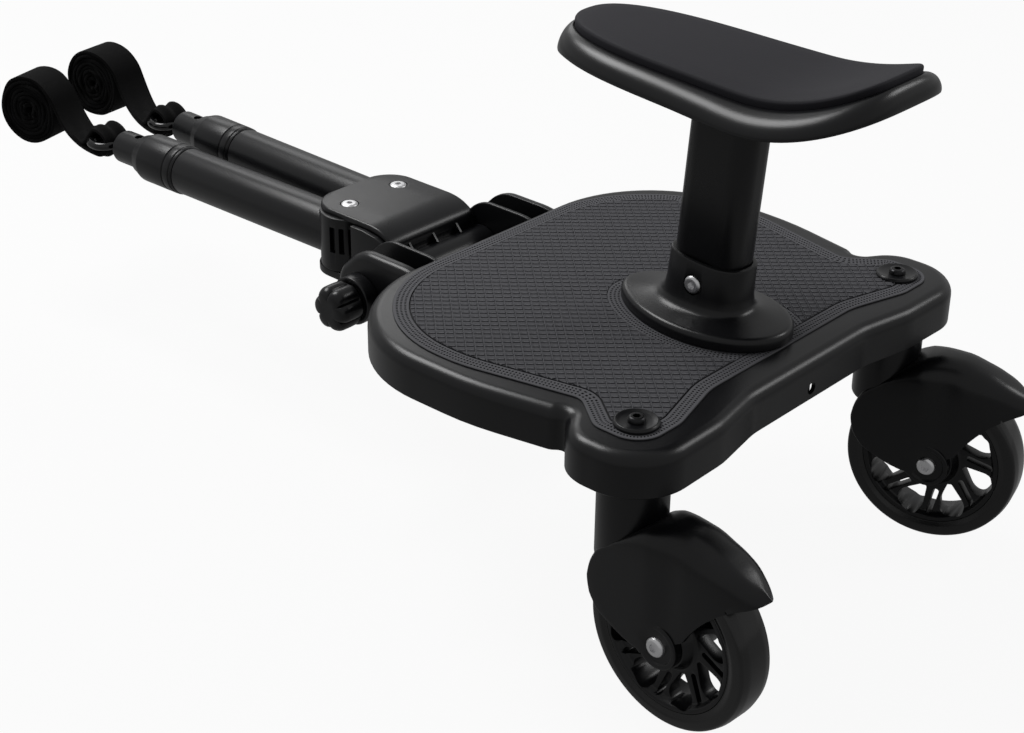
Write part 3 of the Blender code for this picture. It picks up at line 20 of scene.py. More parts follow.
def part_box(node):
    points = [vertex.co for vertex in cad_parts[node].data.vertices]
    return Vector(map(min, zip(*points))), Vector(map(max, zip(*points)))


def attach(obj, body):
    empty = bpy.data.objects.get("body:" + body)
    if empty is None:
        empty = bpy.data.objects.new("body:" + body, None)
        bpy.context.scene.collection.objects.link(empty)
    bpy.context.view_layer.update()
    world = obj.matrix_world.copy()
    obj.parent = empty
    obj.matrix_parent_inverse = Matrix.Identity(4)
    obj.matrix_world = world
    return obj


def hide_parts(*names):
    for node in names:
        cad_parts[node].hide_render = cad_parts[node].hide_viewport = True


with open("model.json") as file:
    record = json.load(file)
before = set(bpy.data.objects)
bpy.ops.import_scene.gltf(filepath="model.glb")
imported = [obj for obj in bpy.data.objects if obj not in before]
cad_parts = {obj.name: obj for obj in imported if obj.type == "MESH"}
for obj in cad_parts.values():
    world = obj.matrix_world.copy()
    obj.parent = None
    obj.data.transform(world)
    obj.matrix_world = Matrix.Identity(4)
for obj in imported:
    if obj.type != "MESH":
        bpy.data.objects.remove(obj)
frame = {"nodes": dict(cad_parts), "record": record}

LOG = logging.getLogger("ride_on_seat")
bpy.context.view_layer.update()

Point = Sequence[float]
Points = Sequence[Point]
Ring = list

GROUND = -0.186
SMOOTH = 35.0
FINE_TURN = math.radians(5)


class Side(Enum):
    """The two sides of the object, as the sign of X."""

    LEFT = -1
    RIGHT = 1

    @property
    def label(self) -> str:
        """The side's name in lower case."""
        return self.name.lower()


class Slot(Enum):
    """The record's material slots."""

    PLASTIC = "satin_plastic"
    MAT = "mat_rubber"
    PAD = "pad_foam"
    GLOSS = "gloss_plastic"
    TYRE = "tyre"
    WEBBING = "webbing"
    SILVER = "silver_steel"
    BLACK_STEEL = "black_steel"


# Outlines

def rounded(corners: Sequence[Point], turn: float = FINE_TURN, closed: bool = True) -> list[Vector]:
    """Outline through corners (x, y, radius), each rounded by an arc.

    Args:
        corners: The corners in order; one of two numbers stays sharp.
        turn: The largest angle of one step of an arc.
        closed: False for an open line, whose ends stay as they are.

    Returns:
        The points of the outline.
    """
    points: list[Vector] = []
    count = len(corners)
    for index, corner in enumerate(corners):
        here = Vector(corner[:2])
        if len(corner) < 3 or (not closed and index in (0, count - 1)):
            points.append(here)
            continue
        before = (Vector(corners[index - 1][:2]) - here).normalized()
        after = (Vector(corners[(index + 1) % count][:2]) - here).normalized()
        half = before.angle(after) / 2
        centre = here + (before + after).normalized() * corner[2] / math.sin(half)
        start = here + before * corner[2] / math.tan(half) - centre
        end = here + after * corner[2] / math.tan(half) - centre
        sweep = math.atan2(start.cross(end), start.dot(end))
        steps = max(1, math.ceil(abs(sweep) / turn))
        points += [centre + Matrix.Rotation(sweep * step / steps, 2) @ start for step in range(steps + 1)]
    return points


def both_sides(right_half: Sequence[Point]) -> list[Point]:
    """The right half's corners, front to rear, followed by their mirror images."""
    return list(right_half) + [(-corner[0], *corner[1:]) for corner in reversed(right_half)]


def grown(outline: Sequence[Vector], distance: float) -> list[Vector]:
    """An outline moved out by a distance, or in where it is negative."""
    area = sum(a.cross(b) for a, b in zip(outline, [*outline[1:], outline[0]]))
    side = distance * math.copysign(1, area)
    moved = []
    for index, point in enumerate(outline):
        before = (point - outline[index - 1]).normalized()
        after = (outline[(index + 1) % len(outline)] - point).normalized()
        bisector = Vector((before.y + after.y, -before.x - after.x)).normalized()
        moved.append(point + bisector * side / max(0.5, bisector.dot(Vector((after.y, -after.x)))))
    return moved


def evenly(outline: Sequence[Vector], count: int) -> list[Vector]:
    """The same closed outline in count steps of one length."""
    ends = [*outline[1:], outline[0]]
    lengths = [(b - a).length for a, b in zip(outline, ends)]
    total = sum(lengths)
    points, edge, passed = [], 0, 0.0
    for step in range(count):
        target = total * step / count
        while passed + lengths[edge] < target:
            passed += lengths[edge]
            edge += 1
        points.append(outline[edge].lerp(ends[edge], (target - passed) / max(lengths[edge], 1e-9)))
    return points


def girth(outline: Sequence[Vector]) -> float:
    """Length of a closed outline."""
    return sum((b - a).length for a, b in zip(outline, [*outline[1:], outline[0]]))


def chord(outline: Sequence[Vector], axis: int, at: float) -> tuple[float, float]:
    """Where a straight line at a value of one axis enters and leaves an outline."""
    other = 1 - axis
    hits = []
    for a, b in zip(outline, [*outline[1:], outline[0]]):
        if (a[axis] - at) * (b[axis] - at) < 0:
            share = (at - a[axis]) / (b[axis] - a[axis])
            hits.append(a[other] + (b[other] - a[other]) * share)
    return min(hits), max(hits)


def eased(share: float) -> float:
    """Smooth step from 0 to 1."""
    share = min(1.0, max(0.0, share))
    return share * share * (3 - 2 * share)


def between(table: Sequence[tuple[float, float]], at: float) -> float:
    """Value of a table of (key, value) at a key, straight between its rows."""
    if at <= table[0][0]:
        return table[0][1]
    for (low, first), (high, second) in zip(table, table[1:]):
        if at <= high:
            return first + (second - first) * (at - low) / (high - low)
    return table[-1][1]


def curve_through(points: Sequence[Point], steps: int) -> list[tuple[float, ...]]:
    """Smooth open line through points of any size, with steps pieces between neighbours."""
    line: list[tuple[float, ...]] = []
    padded = [points[0], *points, points[-1]]
    for index in range(1, len(padded) - 2):
        p0, p1, p2, p3 = padded[index - 1:index + 3]
        for step in range(steps):
            t = step / steps
            line.append(tuple(
                0.5 * (2 * b + (c - a) * t + (2 * a - 5 * b + 4 * c - d) * t * t + (3 * b - a - 3 * c + d) * t ** 3)
                for a, b, c, d in zip(p0, p1, p2, p3)))
    line.append(tuple(points[-1]))
    return line


# Shapes

class Form:
    """A bmesh at work, with the operators that the pieces share."""

    def __init__(self) -> None:
        """Start with nothing."""
        self.bm = bmesh.new()

    def ring(self, points: Points) -> Ring:
        """A closed loop of new vertices."""
        verts = [self.bm.verts.new(point) for point in points]
        for near, far in zip(verts, verts[1:] + verts[:1]):
            self.bm.edges.new((near, far))
        return verts

    def edges_of(self, ring: Ring) -> list:
        """The edges of a loop of vertices."""
        return [self.bm.edges.get((near, far)) for near, far in zip(ring, ring[1:] + ring[:1])]

    def grow(self, ring: Ring, points: Points) -> Ring:
        """Extrude a loop and lay the new loop on points."""
        made = bmesh.ops.extrude_edge_only(self.bm, edges=self.edges_of(ring))["geom"]
        fresh = {item for item in made if isinstance(item, bmesh.types.BMVert)}
        new_ring = [next(e.other_vert(v) for e in v.link_edges if e.other_vert(v) in fresh) for v in ring]
        for vert, point in zip(new_ring, points):
            vert.co = point
        return new_ring

    def cap(self, ring: Ring) -> None:
        """Close a loop with one face."""
        bmesh.ops.contextual_create(self.bm, geom=self.edges_of(ring))

    def loft(self, sections: Iterable[Points], capped: bool = True, looped: bool = False) -> list[Ring]:
        """A skin over sections of one number of points.

        Args:
            sections: The loops of points in order.
            capped: Whether both ends are closed with a face.
            looped: Whether the last section joins the first one.

        Returns:
            The loops of vertices.
        """
        sections = list(sections)
        rings = [self.ring(sections[0])]
        for section in sections[1:]:
            rings.append(self.grow(rings[-1], section))
        if looped:
            bmesh.ops.bridge_loops(self.bm, edges=self.edges_of(rings[-1]) + self.edges_of(rings[0]))
        elif capped:
            self.cap(rings[0])
            self.cap(rings[-1])
        return rings

    def lathe(self, profile: Points, steps: int = 64) -> "Form":
        """Spin (radius, height) points round Z; a profile clear of the axis is a closed loop."""
        verts = [self.bm.verts.new((radius, 0, height)) for radius, height in profile]
        pairs = list(zip(verts, verts[1:]))
        if profile[0][0] > 1e-6:
            pairs.append((verts[-1], verts[0]))
        edges = [self.bm.edges.new(pair) for pair in pairs]
        bmesh.ops.spin(self.bm, geom=verts + edges, cent=(0, 0, 0), axis=(0, 0, 1), angle=math.tau, steps=steps,
                       use_merge=True)
        bmesh.ops.remove_doubles(self.bm, verts=self.bm.verts, dist=1e-6)
        return self

    def prism(self, outline: Sequence[Vector], low: float, high: float, rim: float = 0.0, foot: float = 0.0,
              steps: int = 4) -> "Form":
        """An outline between two heights, with a rounded rim above and foot below."""
        levels = []
        if foot:
            for step in range(steps):
                bend = math.pi / 2 * step / steps
                levels.append((-foot * (1 - math.sin(bend)), low + foot * (1 - math.cos(bend))))
        levels.append((0.0, low + foot))
        if high - rim > low + foot + 1e-6:
            levels.append((0.0, high - rim))
        if rim:
            for step in range(1, steps + 1):
                bend = math.pi / 2 * step / steps
                levels.append((-rim * (1 - math.cos(bend)), high - rim * (1 - math.sin(bend))))
        self.loft([[(p.x, p.y, height) for p in grown(outline, inset)] for inset, height in levels])
        return self

    def block(self, low: Point, high: Point, edge: float = 0.0) -> "Form":
        """A box between two corners, its edges eased."""
        size = Vector(high) - Vector(low)
        centre = (Vector(high) + Vector(low)) / 2
        made = bmesh.ops.create_cube(self.bm, size=1, matrix=Matrix.Translation(centre) @ Matrix.Diagonal((*size, 1)))
        if edge:
            edges = list({e for v in made["verts"] for e in v.link_edges})
            bmesh.ops.bevel(self.bm, geom=edges, offset=edge, segments=2, profile=0.5, affect="EDGES", material=-1)
        return self

    def turned(self, matrix: Matrix) -> "Form":
        """The same form, moved by a matrix."""
        self.bm.transform(matrix)
        return self

    def take(self, *others: "Form") -> "Form":
        """Add other forms, which end here."""
        for other in others:
            spare = bpy.data.meshes.new("spare")
            other.bm.to_mesh(spare)
            other.bm.free()
            self.bm.from_mesh(spare)
            bpy.data.meshes.remove(spare)
        return self

    def piece(self, name: str, matrix: Matrix = Matrix(), smooth: float = SMOOTH) -> bpy.types.Object:
        """End the form as a mesh object.

        Args:
            name: The piece's name.
            matrix: From the sub-assembly's frame to the object's.
            smooth: The angle in degrees above which an edge stays sharp.

        Returns:
            The object, at the origin.
        """
        bmesh.ops.recalc_face_normals(self.bm, faces=self.bm.faces)
        self.bm.transform(matrix)
        mesh = bpy.data.meshes.new(name)
        self.bm.to_mesh(mesh)
        self.bm.free()
        made = bpy.data.objects.new(name, mesh)
        bpy.context.scene.collection.objects.link(made)
        smoothed(made, smooth)
        return made


ALONG_X = Matrix(((0, 0, 1, 0), (1, 0, 0, 0), (0, 1, 0, 0), (0, 0, 0, 1)))
ALONG_Y = Matrix.Rotation(math.radians(-90), 4, "X")


def smoothed(made: bpy.types.Object, angle: float = SMOOTH) -> None:
    """Shade a piece smooth, apart from its sharp edges."""
    made.data.shade_smooth()
    made.data.set_sharp_from_angle(angle=math.radians(angle))


def settled(made: bpy.types.Object) -> bpy.types.Object:
    """Turn a piece's modifiers into its mesh."""
    bpy.context.view_layer.update()
    old = made.data
    fresh = bpy.data.meshes.new_from_object(made.evaluated_get(bpy.context.evaluated_depsgraph_get()))
    made.modifiers.clear()
    made.data = fresh
    fresh.name = made.name
    bpy.data.meshes.remove(old)
    return made


def carved(made: bpy.types.Object, *cutters: bpy.types.Object, operation: str = "DIFFERENCE",
           smooth: float = SMOOTH) -> bpy.types.Object:
    """Cut other objects out of a piece, or keep what it shares with them."""
    for cutter in cutters:
        tool = made.modifiers.new("cut", "BOOLEAN")
        tool.operation = operation
        tool.object = cutter
        tool.solver = "EXACT"
    settled(made)
    for cutter in cutters:
        spare = cutter.data
        bpy.data.objects.remove(cutter)
        bpy.data.meshes.remove(spare)
    smoothed(made, smooth)
    return made


def softened(made: bpy.types.Object, width: float, segments: int = 2, angle: float = 40.0) -> bpy.types.Object:
    """Bevel a piece's sharp edges."""
    tool = made.modifiers.new("ease", "BEVEL")
    tool.width = width
    tool.segments = segments
    tool.limit_method = "ANGLE"
    tool.angle_limit = math.radians(angle)
    tool.harden_normals = False
    settled(made)
    smoothed(made)
    return made


# Materials

class Signal:
    """A value in a node tree, with Python's own arithmetic."""

    def __init__(self, graph: "Graph", socket: bpy.types.NodeSocket) -> None:
        """Wrap a socket of a graph."""
        self.graph = graph
        self.socket = socket

    def maths(self, operation: str, *others: Any) -> "Signal":
        """A Math node of this value and others."""
        return self.graph.node("ShaderNodeMath", {"operation": operation}, [self, *others])

    def __add__(self, other: Any) -> "Signal":
        """Sum."""
        return self.maths("ADD", other)

    __radd__ = __add__

    def __mul__(self, other: Any) -> "Signal":
        """Product."""
        return self.maths("MULTIPLY", other)

    __rmul__ = __mul__

    def __sub__(self, other: Any) -> "Signal":
        """Difference."""
        return self.maths("SUBTRACT", other)

    def __rsub__(self, other: Any) -> "Signal":
        """Difference the other way round."""
        return self.graph.node("ShaderNodeMath", {"operation": "SUBTRACT"}, [other, self])

    def clipped(self) -> "Signal":
        """The value held between 0 and 1."""
        return self.graph.node("ShaderNodeClamp", {}, [self])


class Graph:
    """The node tree of one material."""

    def __init__(self, name: str) -> None:
        """Start a material with its Principled shader."""
        self.material = bpy.data.materials.new(name)
        self.material.use_nodes = True
        self.tree = self.material.node_tree
        self.shader = self.tree.nodes["Principled BSDF"]

    def node(self, kind: str, settings: dict[str, Any], inputs: Any, output: int | str = 0) -> Signal:
        """Add a node.

        Args:
            kind: The node's type.
            settings: Its own settings.
            inputs: Values or signals, as a list by place or a dict by name.
            output: Which of its sockets is returned.

        Returns:
            That socket.
        """
        made = self.tree.nodes.new(kind)
        for key, value in settings.items():
            setattr(made, key, value)
        pairs = inputs.items() if isinstance(inputs, dict) else enumerate(inputs)
        for key, value in pairs:
            self.feed(made.inputs[key], value)
        return Signal(self, made.outputs[output])

    def feed(self, socket: bpy.types.NodeSocket, value: Any) -> None:
        """Link or set one socket."""
        if isinstance(value, Signal):
            self.tree.links.new(value.socket, socket)
        else:
            socket.default_value = value

    def place(self) -> Signal:
        """The point on the piece, in metres."""
        return self.node("ShaderNodeTexCoord", {}, [], "Object")

    def noise(self, where: Signal, scale: float, detail: float = 2.0) -> Signal:
        """Soft noise round one half."""
        return self.node("ShaderNodeTexNoise", {}, {"Vector": where, "Scale": scale, "Detail": detail}, "Fac")

    def blend(self, share: Signal, first: Point, second: Point) -> Signal:
        """A colour between two colours."""
        settings = {"data_type": "RGBA"}
        made = self.node("ShaderNodeMix", settings, {0: share, 6: (*first, 1.0), 7: (*second, 1.0)}, 2)
        return made

    def bump(self, height: Signal, depth: float, strength: float = 1.0) -> Signal:
        """A normal from a height between 0 and 1 that stands for a depth in metres."""
        return self.node("ShaderNodeBump", {}, {"Height": height, "Distance": depth, "Strength": strength}, "Normal")


@dataclass(frozen=True)
class Finish:
    """A moulded or metal finish: its colour wanders a little and a fine grain breaks its gloss."""

    name: str
    slot: Slot
    colour: Point
    light: Point
    roughness: float
    wander: float = 0.06
    grain: float = 1500.0
    depth: float = 0.00004
    metallic: float = 0.0
    coat: float = 0.0
    specular: float = 0.5

    def build(self) -> bpy.types.Material:
        """Make the material.

        Returns:
            The material.
        """
        graph = Graph(self.name)
        self.dress(graph)
        shader = graph.shader.inputs
        shader["Metallic"].default_value = self.metallic
        shader["Coat Weight"].default_value = self.coat
        shader["Coat Roughness"].default_value = 0.06
        shader["Specular IOR Level"].default_value = self.specular
        return graph.material

    def dress(self, graph: Graph) -> None:
        """Link colour, roughness and grain."""
        where = graph.place()
        cloud = graph.noise(where, 22.0, 3.0)
        fine = graph.noise(where, self.grain, 2.0)
        graph.feed(graph.shader.inputs["Base Color"], graph.blend(cloud, self.colour, self.light))
        rough = (cloud - 0.5) * self.wander + (fine - 0.5) * (self.wander * 0.8) + self.roughness
        graph.feed(graph.shader.inputs["Roughness"], rough.clipped())
        graph.feed(graph.shader.inputs["Normal"], graph.bump(fine, self.depth))


@dataclass(frozen=True)
class FoamFinish(Finish):
    """Closed-cell foam: a dull skin with tiny pores."""

    def dress(self, graph: Graph) -> None:
        """Link colour, roughness and pores."""
        where = graph.place()
        cloud = graph.noise(where, 14.0, 4.0)
        pores = graph.node("ShaderNodeTexVoronoi", {"feature": "SMOOTH_F1"},
                           {"Vector": where, "Scale": self.grain}, "Distance")
        graph.feed(graph.shader.inputs["Base Color"], graph.blend(cloud, self.colour, self.light))
        graph.feed(graph.shader.inputs["Roughness"], (self.roughness + (cloud - 0.5) * self.wander).clipped())
        graph.feed(graph.shader.inputs["Normal"], graph.bump(pores, self.depth))


@dataclass(frozen=True)
class TreadFinish(Finish):
    """Moulded rubber whose pits carry painted shade, darker than its top."""

    sunk: float = 0.0006

    def dress(self, graph: Graph) -> None:
        """Link colour, roughness and grain; painted shade darkens the colour with depth in the pits."""
        where = graph.place()
        height = graph.node("ShaderNodeSeparateXYZ", {}, [where], "Z")
        # Painted shade: the share of the face colour falls to nothing over the pits' depth.
        top = (height * (1 / self.sunk) + 1.0).clipped()
        cloud = graph.noise(where, 18.0, 3.0)
        fine = graph.noise(where, self.grain, 2.0)
        face = graph.blend(cloud, self.colour, self.light)
        # Painted shade: the pits' floors take a near-black colour in place of the face colour.
        dark = graph.node("ShaderNodeMix", {"data_type": "RGBA"}, {0: top, 6: (0.006, 0.006, 0.007, 1.0), 7: face}, 2)
        graph.feed(graph.shader.inputs["Base Color"], dark)
        graph.feed(graph.shader.inputs["Roughness"], (self.roughness + (cloud - 0.5) * self.wander).clipped())
        graph.feed(graph.shader.inputs["Normal"], graph.bump(fine, self.depth))


@dataclass(frozen=True)
class WebbingFinish(Finish):
    """Woven hook-and-loop tape: ribs across, threads along and a fuzzy nap."""

    rib: float = 0.0011
    thread: float = 0.0009

    def dress(self, graph: Graph) -> None:
        """Link the weave, which follows the tape's own map in metres."""
        sheet = graph.node("ShaderNodeUVMap", {"uv_map": "tape"}, [], "UV")
        across = graph.node("ShaderNodeSeparateXYZ", {}, [sheet], "X")
        along = graph.node("ShaderNodeSeparateXYZ", {}, [sheet], "Y")
        ribs = (along * (math.tau / self.rib)).maths("SINE")
        threads = (across * (math.tau / self.thread)).maths("SINE")
        weave = ribs * threads * 0.5 + 0.5
        nap = graph.noise(graph.place(), self.grain, 3.0)
        height = weave * 0.6 + nap * 0.4
        graph.feed(graph.shader.inputs["Base Color"], graph.blend(height.clipped(), self.colour, self.light))
        graph.feed(graph.shader.inputs["Roughness"], (self.roughness + (nap - 0.5) * self.wander).clipped())
        graph.feed(graph.shader.inputs["Normal"], graph.bump(height, self.depth))
        graph.shader.inputs["Sheen Weight"].default_value = 0.02
        graph.shader.inputs["Sheen Roughness"].default_value = 0.5


FINISHES: dict[Slot, Finish] = {
    Slot.PLASTIC: Finish("satin_black_plastic", Slot.PLASTIC, (0.0056, 0.0058, 0.0068), (0.0076, 0.0078, 0.0090),
                         0.29, wander=0.06, grain=1700.0, depth=0.00003, specular=0.34),
    Slot.MAT: TreadFinish("charcoal_mat_rubber", Slot.MAT, (0.092, 0.092, 0.101), (0.112, 0.112, 0.122),
                          0.70, wander=0.10, grain=2200.0, depth=0.00005, specular=0.35),
    Slot.PAD: FoamFinish("dull_foam_pad", Slot.PAD, (0.0145, 0.0140, 0.0185), (0.0185, 0.0180, 0.0230),
                         0.72, wander=0.08, grain=900.0, depth=0.00006, specular=0.3),
    Slot.GLOSS: Finish("glossy_black_plastic", Slot.GLOSS, (0.004, 0.004, 0.0045), (0.006, 0.006, 0.0065),
                       0.16, wander=0.04, grain=600.0, depth=0.00002),
    Slot.TYRE: Finish("glossy_black_tyre", Slot.TYRE, (0.0032, 0.0032, 0.0035), (0.0046, 0.0046, 0.0050),
                      0.22, wander=0.06, grain=500.0, depth=0.00002),
    Slot.WEBBING: WebbingFinish("black_hook_and_loop_tape", Slot.WEBBING, (0.0008, 0.0008, 0.0009),
                                (0.0026, 0.0026, 0.0029), 0.95, wander=0.10, grain=2600.0, depth=0.00022,
                                specular=0.15),
    Slot.SILVER: Finish("zinc_plated_steel", Slot.SILVER, (0.62, 0.62, 0.63), (0.72, 0.72, 0.73),
                        0.32, wander=0.12, grain=1200.0, depth=0.00003, metallic=1.0),
    Slot.BLACK_STEEL: Finish("blackened_steel", Slot.BLACK_STEEL, (0.020, 0.020, 0.021), (0.028, 0.028, 0.030),
                             0.30, wander=0.08, grain=1400.0, depth=0.00003, metallic=0.9),
}


class Wardrobe:
    """The finishes as materials, put on pieces and on the frame's own nodes."""

    def __init__(self, finishes: dict[Slot, Finish]) -> None:
        """Build every finish once."""
        self.materials = {slot: finish.build() for slot, finish in finishes.items()}

    def wear(self, made: bpy.types.Object, slot: Slot, body: str, *nodes: str) -> bpy.types.Object:
        """Finish a piece and let it ride.

        Args:
            made: The piece.
            slot: The finish that it wears.
            body: The body that it moves with.
            nodes: The frame's nodes that it stands for.

        Returns:
            The piece.
        """
        made.data.materials.clear()
        made.data.materials.append(self.materials[slot])
        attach(made, body)
        if nodes:
            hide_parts(*nodes)
        LOG.info("%s: %d faces, rides on %s, %s", made.name, len(made.data.polygons), body, slot.value)
        return made

    def dress_frame(self) -> None:
        """Give each node of the frame that still shows the finish of its slot."""
        slots = {row["node"]: Slot(row["material_slot"]) for row in frame["record"]["subparts"]}
        for name, node in frame["nodes"].items():
            node.data.materials.clear()
            node.data.materials.append(self.materials[slots[name]])
            LOG.info("%s: node of the frame, %s", name, slots[name].value)


# Small hardware

@dataclass(frozen=True)
class SocketScrew:
    """A button-head screw with a hexagon socket, its head up along Z from height 0."""

    radius: float
    height: float
    socket: float = 0.45
    depth: float = 0.6

    def form(self) -> Form:
        """The head as a form.

        Returns:
            The head, with a six-sided recess.
        """
        crown = [(0.0, self.height), (self.radius * 0.74, self.height), (self.radius * 0.93, self.height * 0.68),
                 (self.radius, self.height * 0.18), (self.radius, 0.0), (0.0, 0.0)]
        outline = rounded([crown[0], (*crown[1], self.height * 0.5), (*crown[2], self.height * 0.5),
                           (*crown[3], self.height * 0.12), crown[4], crown[5]], math.radians(12), closed=False)
        head = Form().lathe([tuple(p) for p in outline], 40).piece("screw_head")
        hexagon = [Vector((math.cos(math.tau * k / 6), math.sin(math.tau * k / 6))) * self.radius * self.socket
                   for k in range(6)]
        recess = Form().prism(hexagon, self.height * (1 - self.depth), self.height + 0.002).piece("socket")
        carved(head, recess, smooth=25)
        made = Form()
        made.bm.from_mesh(head.data)
        spare = head.data
        bpy.data.objects.remove(head)
        bpy.data.meshes.remove(spare)
        return made


# Footboard

@dataclass
class Footboard:
    """The moulded board: skirt with a rounded rim, ribbed underside and four hinge fins."""

    half_width: float = 0.171
    front: float = 0.082
    rear_y: float = -0.1935
    top: float = -0.001
    foot: float = -0.029
    edge: float = 0.009
    wall: float = 0.0028
    caster_x: float = 0.1375
    caster_y: float = -0.165
    lobe: float = 0.0375
    hinge_y: float = 0.129
    hinge_z: float = -0.039
    fin_inner: float = 0.0465
    fin_outer: float = 0.077

    def outline(self) -> list[Vector]:
        """Plan of the board."""
        x, y, lobe = self.caster_x, self.caster_y, self.lobe
        return rounded(both_sides([
            (self.half_width, self.front, 0.095),
            (self.half_width - 0.0015, y + 0.105, 0.200),
            (x + 0.020, y + 0.048, 0.010),
            (x + 0.013, y + 0.0405, 0.006),
            (x + lobe, y + 0.024, 0.030),
            (x + lobe, y - lobe, lobe),
            (x - lobe, y - lobe + 0.0015, 0.060),
            (x - 0.0775, y - 0.0285, 0.060)]))

    def fin_profile(self) -> list[Vector]:
        """Side view of a fin as (Y, Z)."""
        y, low, front = self.hinge_y, self.hinge_z, self.front
        return rounded([
            (front - 0.012, low + 0.0290, 0.004),
            (front + 0.006, low + 0.0335, 0.050),
            (y + 0.004, low + 0.0335, 0.030),
            (y + 0.026, low + 0.0120, 0.020),
            (y + 0.024, low - 0.0180, 0.020),
            (y - 0.006, low - 0.0210, 0.016),
            (front - 0.002, low + 0.0060, 0.012),
            (front - 0.012, low + 0.0105, 0.002)])

    def shell(self) -> Form:
        """Skirt, rim, top plate and hollow underside."""
        outline = self.outline()
        levels = [(0.0, self.foot + 0.0006), (0.0, self.top - self.edge)]
        steps = 8
        for step in range(1, steps + 1):
            bend = math.pi / 2 * step / steps
            levels.append((-self.edge * (1 - math.cos(bend)), self.top - self.edge * (1 - math.sin(bend))))
        inside = [(-0.0006, self.foot), (-self.wall + 0.0004, self.foot), (-self.wall, self.foot + 0.0004),
                  (-self.wall, -0.0075), (-self.wall - 0.003, -0.0053)]
        made = Form()
        order = list(reversed(inside)) + levels
        made.loft([[(p.x, p.y, height) for p in grown(outline, inset)] for inset, height in order])
        return made

    def ribs(self) -> Form:
        """The grid of ribs and the caster bosses under the plate."""
        made = Form()
        inner = grown(self.outline(), -self.wall)
        low, high, half = -0.0243, -0.0050, 0.0010
        for column in (-0.5, 0.0, 0.5):
            x = self.half_width * column
            start, end = chord(inner, 0, x + 0.0001)
            made.take(Form().block((x - half, start - 0.001, low), (x + half, end + 0.001, high), 0.0003))
        for row in (0.25, 0.5, 0.75):
            y = self.rear_y + (self.front - self.rear_y) * row
            start, end = chord(inner, 1, y)
            made.take(Form().block((start - 0.001, y - half, low), (end + 0.001, y + half, high), 0.0003))
        for side in Side:
            boss = [(0.0135, -0.005), (0.0162, -0.005), (0.0162, self.foot + 0.0003), (0.0135, self.foot + 0.0003)]
            made.take(Form().lathe(boss, 48).turned(Matrix.Translation((side.value * self.caster_x, self.caster_y, 0))))
        return made

    def fins(self) -> Form:
        """Two fins a side with the bolt's boss between them."""
        made = Form()
        profile = self.fin_profile()
        for side in Side:
            inner = sorted((side.value * self.fin_inner, side.value * (self.fin_inner + 0.0032)))
            outer = sorted((side.value * (self.fin_outer - 0.0085), side.value * self.fin_outer))
            made.take(Form().prism(profile, *inner, rim=0.0011, foot=0.0011).turned(ALONG_X))
            broad = {"rim": 0.0056, "foot": 0.0008} if side is Side.RIGHT else {"rim": 0.0008, "foot": 0.0056}
            made.take(Form().prism(profile, *outer, **broad).turned(ALONG_X))
            boss = sorted((side.value * (self.fin_inner + 0.001), side.value * (self.fin_outer - 0.001)))
            barrel = [(0.0, boss[0]), (0.014, boss[0]), (0.014, boss[1]), (0.0, boss[1])]
            spot = Matrix.Translation((0, self.hinge_y, self.hinge_z))
            made.take(Form().lathe(barrel, 48).turned(ALONG_X).turned(spot))
        return made

    def build(self, wardrobe: Wardrobe) -> None:
        """Make the board."""
        made = self.shell().piece("footboard")
        rear = Form().lathe([(0, -0.02), (0.004, -0.02), (0.004, 0.02), (0, 0.02)], 32)
        rear.turned(ALONG_Y).turned(Matrix.Translation((0, self.rear_y, -0.021)))
        carved(made, rear.piece("rear_hole"))
        whole = Form()
        whole.bm.from_mesh(made.data)
        bpy.data.objects.remove(made)
        whole.take(self.ribs(), self.fins())
        wardrobe.wear(whole.piece("footboard"), Slot.PLASTIC, "root", "platform")


